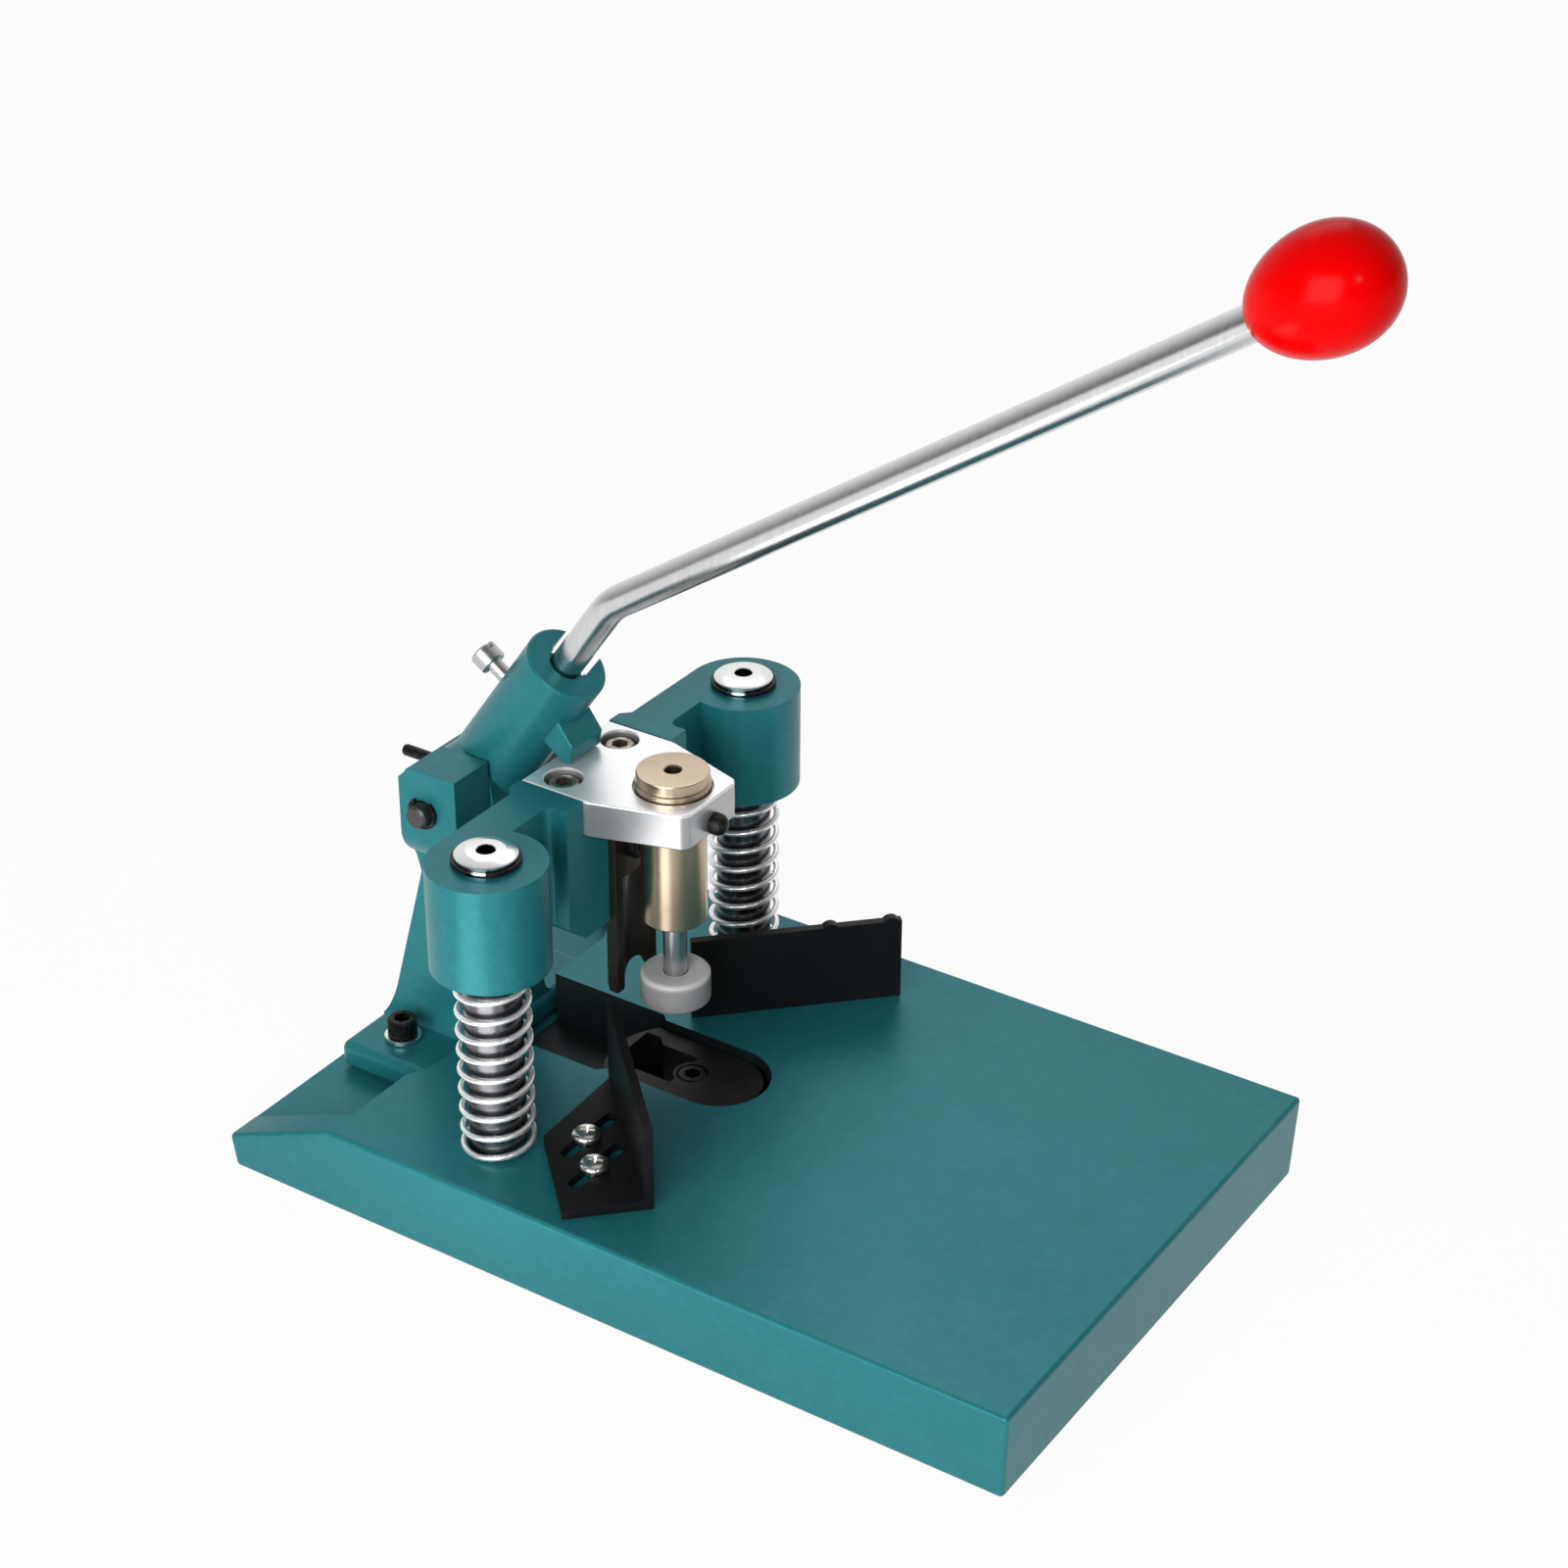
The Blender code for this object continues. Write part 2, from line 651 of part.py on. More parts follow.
def build_base(mats):
    base = place("base_casting", base_block(), mats["paint"])
    round_edges(base, BASE_EDGE_ROUND)
    cut(base, tool("cut_bays", base_bays()))
    bosses = bmesh.new()
    for side in (-1.0, 1.0):
        spot = Matrix.Translation((side * POST_X, POST_LINE_Y, 0.0))
        turn(rod_profile(POST_BOSS_RADIUS, 0.0, TABLE - BASE_DECK / 2.0), ROUND_SIDES, spot, bosses)
    join(base, tool("add_post_bosses", bosses))
    cut(base, tool("cut_seat", seat_recess()), tool("cut_slot", slot_cut()))
    cut(base, tool("cut_post_left", post_seat(-1.0)), tool("cut_post_right", post_seat(1.0)))
    cut(base, tool("cut_screw_holes", base_holes()))
    waste = extrude(waste_outline(), -OVERRUN, SLOT_FLOOR + OVERRUN)
    cut(base, tool("cut_waste", waste))


# Guide posts, their screws and retaining rings
def ring_seat():
    return CROSSHEAD_TOP + SEAT_GAP


def post_profile():
    bottom = TABLE - POST_SEAT_DEPTH + SEAT_GAP
    groove = POST_RADIUS - POST_GROOVE_DEPTH
    low = ring_seat()
    high = low + RING_THICKNESS + SEAT_GAP
    top = high + POST_HEAD_HEIGHT
    bite = M6_SHANK_RADIUS + SEAT_GAP
    deep = bottom + POST_SCREW_BITE + SEAT_GAP
    return [(0.0, deep), (bite, deep), (bite, bottom), (POST_RADIUS - POST_EDGE, bottom),
            (POST_RADIUS, bottom + POST_EDGE), (POST_RADIUS, low), (groove, low), (groove, high),
            (POST_HEAD_RADIUS, high), (POST_HEAD_RADIUS, top - POST_EDGE),
            (POST_HEAD_RADIUS - POST_EDGE * 2.0, top), (POST_CENTRE_HOLE, top),
            (POST_CENTRE_HOLE, top - POST_CENTRE_DEPTH), (0.0, top - POST_CENTRE_DEPTH)]


def ring_outline(centre_x, centre_y, inner, outer, opening, towards):
    half = opening / 2.0
    start = towards + half
    end = towards + 360.0 - half
    return (arc(centre_x, centre_y, outer, start, end, 22)
            + arc(centre_x, centre_y, inner, end, start, 22))


def build_posts(mats):
    for side, word in ((-1.0, "left"), (1.0, "right")):
        spot = Matrix.Translation((side * POST_X, POST_LINE_Y, 0.0))
        place("guide_post_" + word, turn(post_profile(), ROUND_SIDES, spot), mats["chrome"])
        shank = POST_SCREW_BITE + (TABLE - POST_SEAT_DEPTH - M6_HEAD_HEIGHT) - SEAT_GAP
        seat = (side * POST_X, POST_LINE_Y, M6_HEAD_HEIGHT)
        place("post_screw_" + word,
              screw_shape(M6_HEAD_RADIUS, M6_HEAD_HEIGHT - SEAT_GAP, M6_SHANK_RADIUS, shank,
                          M6_HEXAGON, along(seat, (0.0, 0.0, -1.0))), mats["oxide"])
        inner = POST_RADIUS - POST_GROOVE_DEPTH + SEAT_GAP
        outline = ring_outline(side * POST_X, POST_LINE_Y, inner, inner + RING_WIDTH,
                               RING_GAP_ANGLE, RING_GAP_TOWARDS)
        place("retaining_ring_" + word,
              extrude(outline, ring_seat() + SEAT_GAP / 2.0,
                      ring_seat() + SEAT_GAP / 2.0 + RING_THICKNESS), mats["oxide"])
        helix("return_spring_" + word, mats["spring"], (side * POST_X, POST_LINE_Y), SPRING_RADIUS,
              SPRING_WIRE, TABLE, BUSHING_BOTTOM, SPRING_TURNS, None)


# Die block in the slot
def die_outline():
    half = SLOT_HALF_WIDTH - DIE_SIDE_GAP
    front = POST_LINE_Y - SLOT_FRONT_REACH + DIE_FRONT_GAP + half
    rear = POST_LINE_Y + DIE_REAR_REACH - DIE_REAR_RADIUS
    side = degrees(acos(half / DIE_REAR_RADIUS))
    right = arc(0.0, rear, DIE_REAR_RADIUS, 88.0, side, 8) + arc(0.0, front, half, 0.0, -88.0, 9)
    return mirrored(right)


def die_opening():
    """The bean shaped hole: as wide as the knife behind, drawn in round the screw in front."""
    wide = BLADE_HALF_WIDTH + DIE_OPENING_GAP
    rear = BLADE_BACK_Y + DIE_OPENING_GAP
    step = BLADE_FRONT_Y - DIE_OPENING_GAP
    bean = DIE_BEAN_HALF_WIDTH
    front = POST_LINE_Y - DIE_BEAN_FRONT
    boss = DIE_BOSS_RADIUS
    right = [(wide, rear), (wide, step), (bean, step - (wide - bean)), (bean, front)]
    shoulder = degrees(asin((front - DIE_SCREW_Y) / boss))
    right += arc(0.0, DIE_SCREW_Y, boss, shoulder, 85.0, 5)
    return mirrored(right)


def build_die(mats):
    low = SLOT_FLOOR + SEAT_GAP
    high = TABLE - DIE_SINK
    die = place("die_block", extrude(die_outline(), low, high), mats["die"])
    cut(die, tool("cut_die_opening", extrude(die_opening(), low - OVERRUN, high + OVERRUN)))
    head = high - M6_HEAD_HEIGHT
    hole = M6_SHANK_RADIUS + SEAT_GAP
    wide = M6_HEAD_RADIUS + SEAT_GAP
    profile = [(0.0, high + OVERRUN), (wide, high + OVERRUN), (wide, head - SEAT_GAP),
               (hole, head - SEAT_GAP), (hole, low - OVERRUN), (0.0, low - OVERRUN)]
    spot = Matrix.Translation((0.0, DIE_SCREW_Y, 0.0))
    cut(die, tool("cut_die_screw", turn(profile, SMALL_SIDES, spot)))
    shank = head - low + BOLT_BITE - OVERRUN
    place("die_screw", screw_shape(M6_HEAD_RADIUS, M6_HEAD_HEIGHT, M6_SHANK_RADIUS, shank,
                                   M6_HEXAGON, along((0.0, DIE_SCREW_Y, head), (0.0, 0.0, 1.0))),
          mats["oxide"])


# Angle fences and their slotted flanges
def fence_wall_outline(bumps):
    """The wall seen square on: back end at zero, front end at its length."""
    top = FENCE_HEIGHT
    points = [(0.0, 0.0), (FENCE_LENGTH, 0.0), (FENCE_LENGTH, top)]
    if bumps:
        half = degrees(atan2(FENCE_BUMP_SINK, sqrt(FENCE_BUMP_RADIUS ** 2 - FENCE_BUMP_SINK ** 2)))
        for share in reversed(FENCE_BUMP_SHARES):
            points += arc(FENCE_LENGTH * share, top - FENCE_BUMP_SINK, FENCE_BUMP_RADIUS,
                          half, 180.0 - half, 6)
    points.append((0.0, top))
    return points


def fence_flange_outline():
    """It starts inside the wall. Its back edge runs nearly square to the table."""
    width = FENCE_FLANGE_WIDTH
    root = FENCE_WALL / 2.0
    front = FENCE_LENGTH - FENCE_END_STEP
    return [(root, root), (front, root), (front, width), (FENCE_FLANGE_BACK_RUN, width)]


def build_fence(word, side, offset, bumps, mats):
    """Built in its own frame: X square to the wall, Y along it from back to front."""
    slope = radians(FENCE_ANGLE)
    back = Vector((side * FENCE_BACK_X + offset, POST_LINE_Y - FENCE_BACK_FORWARD, TABLE + SEAT_GAP))
    run = Vector((side * cos(slope), -sin(slope), 0.0))
    out = Vector((side * sin(slope), cos(slope), 0.0))
    up = Vector((0.0, 0.0, 1.0))
    spot = Matrix.Translation(back) @ Matrix((-side * out, run, up)).transposed().to_4x4()
    carrier = pivot_empty("fence_" + word + "_slide", back)
    faces = sorted((0.0, -side * FENCE_WALL))
    wall = extrude(fence_wall_outline(bumps), faces[0], faces[1], "YZ")
    fence = place("fence_" + word, wall, mats["fence"], carrier, spot)
    outline = [(-side * away, ahead) for ahead, away in fence_flange_outline()]
    join(fence, tool("add_flange_" + word, extrude(outline, 0.0, FENCE_FLANGE)))
    slots = bmesh.new()
    radius = FENCE_SLOT_HALF_WIDTH
    for x, y in fence_screw_spots():
        ends = (arc(x + FENCE_SLOT_INWARD, y, radius, -90.0, 90.0, 6)
                + arc(x - FENCE_SLOT_OUTWARD, y, radius, 90.0, 270.0, 6))
        extrude(ends, TABLE - OVERRUN, TABLE + FENCE_FLANGE + OVERRUN, "XY", slots)
    mirror = Matrix.Translation((offset, 0.0, 0.0)) @ Matrix.Diagonal((-side, 1.0, 1.0, 1.0))
    slots.transform(spot.inverted() @ mirror)
    cut(fence, tool("cut_slots_" + word, slots))


def build_fence_screws(mats):
    seat = TABLE + SEAT_GAP + FENCE_FLANGE + SEAT_GAP
    number = {-1.0: "left", 1.0: "right"}
    for side in (-1.0, 1.0):
        for index, (x, y) in enumerate(fence_screw_spots()):
            profile = [(0.0, seat - FENCE_FLANGE - SEAT_GAP * 2.0 - PAN_SHANK_BITE),
                       (PAN_SHANK_RADIUS, seat - FENCE_FLANGE - SEAT_GAP * 2.0 - PAN_SHANK_BITE),
                       (PAN_SHANK_RADIUS, seat), (PAN_HEAD_RADIUS, seat),
                       *[(PAN_HEAD_RADIUS * across, seat + PAN_HEAD_HEIGHT * up)
                         for across, up in PAN_HEAD_SHARES]]
            spot = Matrix.Translation((-side * x, y, 0.0))
            place("fence_screw_%s_%d" % (number[side], index + 1), turn(profile, SMALL_SIDES, spot),
                  mats["zinc"])


# Rear bracket: foot, column and yoke
def bracket_side_outline():
    """Seen from the side: foot, waisted column, bridge behind the yoke, ear."""
    root = FOOT_SEAT + FOOT_THICKNESS / 2.0
    rear = POST_LINE_Y + COLUMN_REAR
    waist = POST_LINE_Y + WAIST_BACK
    bridge = POST_LINE_Y + BRIDGE_BACK
    ear_back = POST_LINE_Y + EAR_BACK
    ear_front = POST_LINE_Y + EAR_FRONT
    front = POST_LINE_Y + COLUMN_FRONT
    points = [(front, root), (rear, root), (rear, FOOT_TOP), (waist, WAIST_HEIGHT)]
    for share_out, share_up in (EAR_THROAT_SHARES, (1.0, 1.0)):
        points.append((waist + (bridge - waist) * share_out,
                       WAIST_HEIGHT + (BRIDGE_BOTTOM - WAIST_HEIGHT) * share_up))
    points += [(bridge, BRIDGE_TOP), (ear_back, BRIDGE_TOP), (ear_back, EAR_TOP - EAR_CHAMFER),
               (ear_back - EAR_CHAMFER, EAR_TOP), (ear_front, EAR_TOP), (ear_front, EAR_BOTTOM),
               (ear_front + EAR_HEEL, EAR_BOTTOM - EAR_HEEL_HEIGHT), (front, FOOT_TOP)]
    return points


def bracket_side_cut():
    """What is taken off beside the column: a curved shoulder, then a flare to the foot."""
    ear = EAR_HALF_WIDTH + OVERRUN
    waist = COLUMN_HALF_WIDTH
    points = [(ear, EAR_BOTTOM), (EAR_HALF_WIDTH, EAR_BOTTOM)]
    reach = EAR_HALF_WIDTH - waist
    for i in range(1, 7):
        share = i / 6.0
        points.append((waist + reach * cos(share * pi / 2.0),
                       EAR_BOTTOM - EAR_SHOULDER * sin(share * pi / 2.0)))
    for share in COLUMN_FLARE_SHARES:
        points.append((waist + COLUMN_FLARE * share ** 2, FOOT_TOP + COLUMN_FLARE_HEIGHT * (1.0 - share)))
    low = FOOT_SEAT - OVERRUN
    points += [(waist + COLUMN_FLARE, low), (ear, low)]
    return points


def foot_outline():
    right = [(FOOT_HALF_WIDTH, FOOT_SEAT)]
    right += arc(FOOT_HALF_WIDTH - FOOT_ROUND, FOOT_TOP - FOOT_ROUND, FOOT_ROUND, 0.0, 90.0, 5)
    return mirrored(right)


def build_bracket(mats):
    side = extrude(bracket_side_outline(), -EAR_HALF_WIDTH, EAR_HALF_WIDTH, "YZ")
    bracket = place("rear_bracket", side, mats["paint"])
    low = POST_LINE_Y + EAR_FRONT - OVERRUN
    high = POST_LINE_Y + COLUMN_REAR + OVERRUN
    outline = bracket_side_cut()
    flanks = extrude(outline, low, high, "XZ")
    extrude([(-u, v) for u, v in outline], low, high, "XZ", flanks)
    cut(bracket, tool("cut_flanks", flanks))
    behind = bmesh.new()
    for sign in (-1.0, 1.0):
        ends = sorted((sign * COLUMN_HALF_WIDTH, sign * (EAR_HALF_WIDTH + OVERRUN)))
        box = [(ends[0], POST_LINE_Y + EAR_BACK), (ends[1], POST_LINE_Y + EAR_BACK), (ends[1], high), (ends[0], high)]
        extrude(box, EAR_BOTTOM - EAR_SHOULDER - OVERRUN, EAR_TOP + OVERRUN, "XY", behind)
    cut(bracket, tool("cut_behind_ears", behind))
    foot = extrude(foot_outline(), POST_LINE_Y + FOOT_BACK - FOOT_DEPTH, POST_LINE_Y + FOOT_BACK, "XZ")
    join(bracket, tool("add_foot", foot))
    gap = [(-EAR_GAP_HALF, YOKE_FLOOR), (EAR_GAP_HALF, YOKE_FLOOR),
           (EAR_GAP_HALF, EAR_TOP + OVERRUN), (-EAR_GAP_HALF, EAR_TOP + OVERRUN)]
    cut(bracket, tool("cut_yoke", extrude(gap, low, POST_LINE_Y + YOKE_BACK, "XZ")))
    pin = turn(rod_profile(PIN_RADIUS + RUNNING_GAP, -EAR_HALF_WIDTH - OVERRUN,
                           EAR_HALF_WIDTH + OVERRUN), ROUND_SIDES, along(PIVOT, (1.0, 0.0, 0.0)))
    cut(bracket, tool("cut_pin_bore", pin))
    cut(bracket, tool("cut_ear_corners", ear_corner_cut()))
    holes = bmesh.new()
    for sign in (-1.0, 1.0):
        spot = Matrix.Translation((sign * BRACKET_BOLT_SPACING / 2.0, POST_LINE_Y + BRACKET_BOLT_BACK, 0.0))
        turn(rod_profile(M6_SHANK_RADIUS + SEAT_GAP, FOOT_SEAT - OVERRUN, FOOT_TOP + OVERRUN),
             SMALL_SIDES, spot, holes)
    stop = (0.0, POST_LINE_Y + YOKE_BACK - OVERRUN, STOP_SCREW_HEIGHT)
    turn(rod_profile(STOP_SCREW_RADIUS + SEAT_GAP, 0.0, BRIDGE_BACK - YOKE_BACK + OVERRUN * 2.0),
         SMALL_SIDES, along(stop, (0.0, 1.0, 0.0)), holes)
    cut(bracket, tool("cut_bracket_holes", holes))


def ear_corner_cut():
    """Bevels along the ears' outer top edges."""
    edge = EAR_CHAMFER
    drop = EAR_CHAMFER * EAR_BEVEL_SHARE
    bm = bmesh.new()
    for side in (-1.0, 1.0):
        x = EAR_HALF_WIDTH
        wedge = [(side * (x - edge), EAR_TOP + OVERRUN), (side * (x - edge), EAR_TOP),
                 (side * x, EAR_TOP - drop), (side * (x + OVERRUN), EAR_TOP - drop),
                 (side * (x + OVERRUN), EAR_TOP + OVERRUN)]
        extrude(wedge, POST_LINE_Y + EAR_FRONT - OVERRUN, POST_LINE_Y + EAR_BACK + OVERRUN, "XZ", bm)
    return bm


def build_bracket_bolts(mats):
    for side, word in ((-1.0, "left"), (1.0, "right")):
        x = side * BRACKET_BOLT_SPACING / 2.0
        y = POST_LINE_Y + BRACKET_BOLT_BACK
        low = FOOT_TOP + SEAT_GAP
        high = low + M6_WASHER_THICKNESS
        hole = M6_SHANK_RADIUS + SEAT_GAP
        spot = Matrix.Translation((x, y, 0.0))
        profile = [(hole, low), (M6_WASHER_RADIUS, low), (M6_WASHER_RADIUS, high), (hole, high)]
        place("bracket_washer_" + word, turn(profile, SMALL_SIDES, spot), mats["zinc"])
        seat = high + SEAT_GAP
        shank = seat - SEAT_HEIGHT + BOLT_BITE
        place("bracket_bolt_" + word,
              screw_shape(M6_HEAD_RADIUS, M6_HEAD_HEIGHT, M6_SHANK_RADIUS, shank, M6_HEXAGON,
                          along((x, y, seat), (0.0, 0.0, 1.0))), mats["oxide"])


# Crosshead casting
def crosshead_plan():
    """Right half rear to front: boss, arm, round the bushing and back along the arm."""
    rear = POST_LINE_Y + BOSS_REAR
    arm_rear = POST_LINE_Y + BUSHING_RADIUS
    arm_front = POST_LINE_Y + ARM_FRONT
    meet = degrees(atan2(ARM_FRONT, -sqrt(BUSHING_RADIUS ** 2 - ARM_FRONT ** 2)))
    right = [(BOSS_HALF_WIDTH - (BOSS_REAR - BUSHING_RADIUS), rear), (BOSS_HALF_WIDTH, arm_rear)]
    right += arc(POST_X, POST_LINE_Y, BUSHING_RADIUS, 90.0, meet - 360.0, 26)
    right += arc(BOSS_HALF_WIDTH + ARM_FILLET, arm_front - ARM_FILLET, ARM_FILLET, 90.0, 180.0, 4)
    right.append((BOSS_HALF_WIDTH, BOSS_FRONT_Y))
    return mirrored(right)


def crosshead_under():
    """The space below the arms: flat under the boss, flaring up, then the bushings."""
    floor = BOSS_BOTTOM - OVERRUN
    inner = POST_X - BUSHING_RADIUS - ARM_FILLET / 2.0
    bushing = BUSHING_BOTTOM
    outer = POST_X + BUSHING_RADIUS + OVERRUN
    return [(BOSS_FLAT_HALF_WIDTH, floor), (BOSS_FLAT_HALF_WIDTH, BOSS_BOTTOM),
            (BOSS_HALF_WIDTH, BOSS_BOTTOM + BOSS_FLARE_HEIGHT),
            (inner, ARM_ROOT_HEIGHT), (inner, bushing), (outer, bushing), (outer, floor)]


def build_crosshead(mats, carrier):
    solid = extrude(crosshead_plan(), BOSS_BOTTOM, CROSSHEAD_TOP)
    head = place("crosshead_casting", solid, mats["paint"], carrier)
    reach_low = POST_LINE_Y - BUSHING_RADIUS - OVERRUN
    reach_high = POST_LINE_Y + BOSS_REAR + OVERRUN
    under = bmesh.new()
    outline = crosshead_under()
    extrude(outline, reach_low, reach_high, "XZ", under)
    extrude([(-u, v) for u, v in outline], reach_low, reach_high, "XZ", under)
    cut(head, tool("cut_under_arms", under))
    half = PLATE_HALF_WIDTH + SEAT_GAP
    notch = [(-half, PLATE_BOTTOM - SEAT_GAP), (half, PLATE_BOTTOM - SEAT_GAP),
             (half, CROSSHEAD_TOP + OVERRUN), (-half, CROSSHEAD_TOP + OVERRUN)]
    cut(head, tool("cut_plate_notch", extrude(notch, reach_low, reach_high, "XZ")))
    wide = BLADE_HALF_WIDTH + SEAT_GAP
    seat = extrude([(-wide, BOSS_BOTTOM - OVERRUN), (wide, BOSS_BOTTOM - OVERRUN),
                    (wide, PLATE_BOTTOM), (-wide, PLATE_BOTTOM)],
                   BOSS_FRONT_Y - OVERRUN, BOSS_FRONT_Y + BLADE_SEAT_DEPTH, "XZ")
    cut(head, tool("cut_blade_seat", seat))
    bores = bmesh.new()
    for side in (-1.0, 1.0):
        spot = Matrix.Translation((side * POST_X, POST_LINE_Y, 0.0))
        turn(rod_profile(POST_RADIUS + RUNNING_GAP, BUSHING_BOTTOM - OVERRUN,
                         CROSSHEAD_TOP + OVERRUN), ROUND_SIDES, spot, bores)
        spot = Matrix.Translation((side * PLATE_SCREW_SPACING / 2.0, POST_LINE_Y + PLATE_SCREW_BACK, 0.0))
        turn(rod_profile(M6_SHANK_RADIUS + SEAT_GAP, PLATE_BOTTOM - PLATE_SCREW_BITE - SEAT_GAP * 2.0,
                         PLATE_BOTTOM + OVERRUN), SMALL_SIDES, spot, bores)
    turn(rod_profile(M5_SHANK_RADIUS + SEAT_GAP, -OVERRUN, BLADE_SEAT_DEPTH + BLADE_SCREW_BITE),
         SMALL_SIDES, along((0.0, BOSS_FRONT_Y, BLADE_SCREW_HEIGHT), (0.0, 1.0, 0.0)), bores)
    cut(head, tool("cut_crosshead_bores", bores))


# Plate that carries the presser sleeve
def plate_outline():
    corner = PLATE_CORNER
    taper = PLATE_HALF_WIDTH - PLATE_NOSE_HALF_WIDTH
    run = PLATE_NOSE - PLATE_SHOULDER
    length = hypot(taper, run)
    right = [(PLATE_HALF_WIDTH, POST_LINE_Y + PLATE_REAR),
             (PLATE_HALF_WIDTH, POST_LINE_Y - PLATE_SHOULDER),
             (PLATE_NOSE_HALF_WIDTH + corner * taper / length, PLATE_NOSE_Y + corner * run / length),
             (PLATE_NOSE_HALF_WIDTH - corner, PLATE_NOSE_Y)]
    return mirrored(right)


def build_plate(mats, carrier):
    plate = place("top_plate", extrude(plate_outline(), PLATE_BOTTOM, CROSSHEAD_TOP), mats["aluminium"],
                  carrier)
    bores = bmesh.new()
    sink = CROSSHEAD_TOP - SLEEVE_SINK - SEAT_GAP
    body = SLEEVE_RADIUS + SEAT_GAP
    flange = SLEEVE_FLANGE_RADIUS + SLEEVE_SINK_GAP
    profile = [(0.0, CROSSHEAD_TOP + OVERRUN), (flange, CROSSHEAD_TOP + OVERRUN), (flange, sink),
               (body, sink), (body, PLATE_BOTTOM - OVERRUN), (0.0, PLATE_BOTTOM - OVERRUN)]
    turn(profile, ROUND_SIDES, Matrix.Translation((0.0, PRESSER_Y, 0.0)), bores)
    seat = CROSSHEAD_TOP - M6_HEAD_HEIGHT - PLATE_SCREW_SINK - SEAT_GAP * 2.0
    hole = M6_SHANK_RADIUS + SEAT_GAP
    wide = M6_HEAD_RADIUS + PLATE_COUNTERBORE_GAP
    profile = [(0.0, CROSSHEAD_TOP + OVERRUN), (wide, CROSSHEAD_TOP + OVERRUN), (wide, seat),
               (hole, seat), (hole, PLATE_BOTTOM - OVERRUN), (0.0, PLATE_BOTTOM - OVERRUN)]
    for side in (-1.0, 1.0):
        spot = Matrix.Translation((side * PLATE_SCREW_SPACING / 2.0, POST_LINE_Y + PLATE_SCREW_BACK, 0.0))
        turn(profile, SMALL_SIDES, spot, bores)
    cut(plate, tool("cut_plate_bores", bores))
    clamp_line = PLATE_BOTTOM + CLAMP_HEIGHT
    clamp = turn(rod_profile(M4_SHANK_RADIUS + SEAT_GAP, 0.0, PLATE_NOSE - PRESSER_FORWARD + OVERRUN),
                 SMALL_SIDES, along((0.0, PRESSER_Y, clamp_line), (0.0, -1.0, 0.0)))
    cut(plate, tool("cut_clamp_hole", clamp))
    for side, word in ((-1.0, "left"), (1.0, "right")):
        place("plate_screw_" + word,
              screw_shape(M6_HEAD_RADIUS, M6_HEAD_HEIGHT, M6_SHANK_RADIUS,
                          seat + SEAT_GAP - PLATE_BOTTOM + PLATE_SCREW_BITE, M6_HEXAGON,
                          along((side * PLATE_SCREW_SPACING / 2.0, POST_LINE_Y + PLATE_SCREW_BACK,
                                 seat + SEAT_GAP), (0.0, 0.0, 1.0))), mats["oxide"], carrier)
    shank = PLATE_NOSE - PRESSER_FORWARD - SLEEVE_RADIUS
    place("sleeve_clamp_screw",
          screw_shape(M4_HEAD_RADIUS, CLAMP_STICKOUT - SEAT_GAP, M4_SHANK_RADIUS, shank,
                      M4_HEXAGON, along((0.0, PLATE_NOSE_Y - SEAT_GAP, clamp_line), (0.0, -1.0, 0.0))),
          mats["oxide"], carrier)


# Knife on the crosshead's front face
def build_blade(mats, carrier):
    half = BLADE_HALF_WIDTH
    top = PLATE_BOTTOM - SEAT_GAP - BLADE_TOP_GAP
    blank = [(-half, BLADE_TIP), (half, BLADE_TIP), (half, top), (-half, top)]
    blade = place("blade", extrude(blank, BLADE_FRONT_Y, BLADE_BACK_Y, "XZ"), mats["knife"], carrier)
    depth = BLADE_ARC_RADIUS - BLADE_ARC_DEPTH
    centre = BLADE_FRONT_Y - depth
    groove = turn(rod_profile(BLADE_ARC_RADIUS, BLADE_TIP - OVERRUN, BLADE_TIP + BLADE_GROOVE_HEIGHT),
                  ROUND_SIDES * 2, Matrix.Translation((0.0, centre, 0.0)))
    cut(blade, tool("cut_blade_groove", groove))
    scoop = turn(rod_profile(BLADE_SCOOP_RADIUS, -OVERRUN, BLADE_THICKNESS + OVERRUN), ROUND_SIDES,
                 along((BLADE_SCOOP_OFFSET, BLADE_BACK_Y, BLADE_TIP - BLADE_SCOOP_OFFSET), (0.0, -1.0, 0.0)))
    cut(blade, tool("cut_blade_scoop", scoop))
    bevel = [(BLADE_BACK_Y + OVERRUN, BLADE_TIP - OVERRUN), (BLADE_BACK_Y + OVERRUN, BLADE_TIP + BLADE_BEVEL * 2.0),
             (BLADE_BACK_Y, BLADE_TIP + BLADE_BEVEL * 2.0), (BLADE_BACK_Y - BLADE_BEVEL, BLADE_TIP - OVERRUN)]
    cut(blade, tool("cut_blade_bevel", extrude(bevel, -half - OVERRUN, half + OVERRUN, "YZ")))
    hole = turn(rod_profile(M5_SHANK_RADIUS + SEAT_GAP, -OVERRUN, BLADE_THICKNESS + OVERRUN), SMALL_SIDES,
                along((0.0, BLADE_BACK_Y, BLADE_SCREW_HEIGHT), (0.0, -1.0, 0.0)))
    cut(blade, tool("cut_blade_hole", hole))
    place("blade_screw",
          screw_shape(BLADE_SCREW_HEAD_RADIUS, BLADE_SCREW_HEAD_HEIGHT, M5_SHANK_RADIUS,
                      BLADE_THICKNESS + BLADE_SCREW_BITE, M4_HEXAGON,
                      along((0.0, BLADE_FRONT_Y - SEAT_GAP, BLADE_SCREW_HEIGHT), (0.0, -1.0, 0.0))),
          mats["oxide"], carrier)


# Presser sleeve, rod, spring and foot
def chamber_floor():
    return SLEEVE_BOTTOM + SLEEVE_FLOOR


def sleeve_top():
    return CROSSHEAD_TOP - SLEEVE_SINK + SLEEVE_FLANGE_HEIGHT + SLEEVE_CAP_HEIGHT


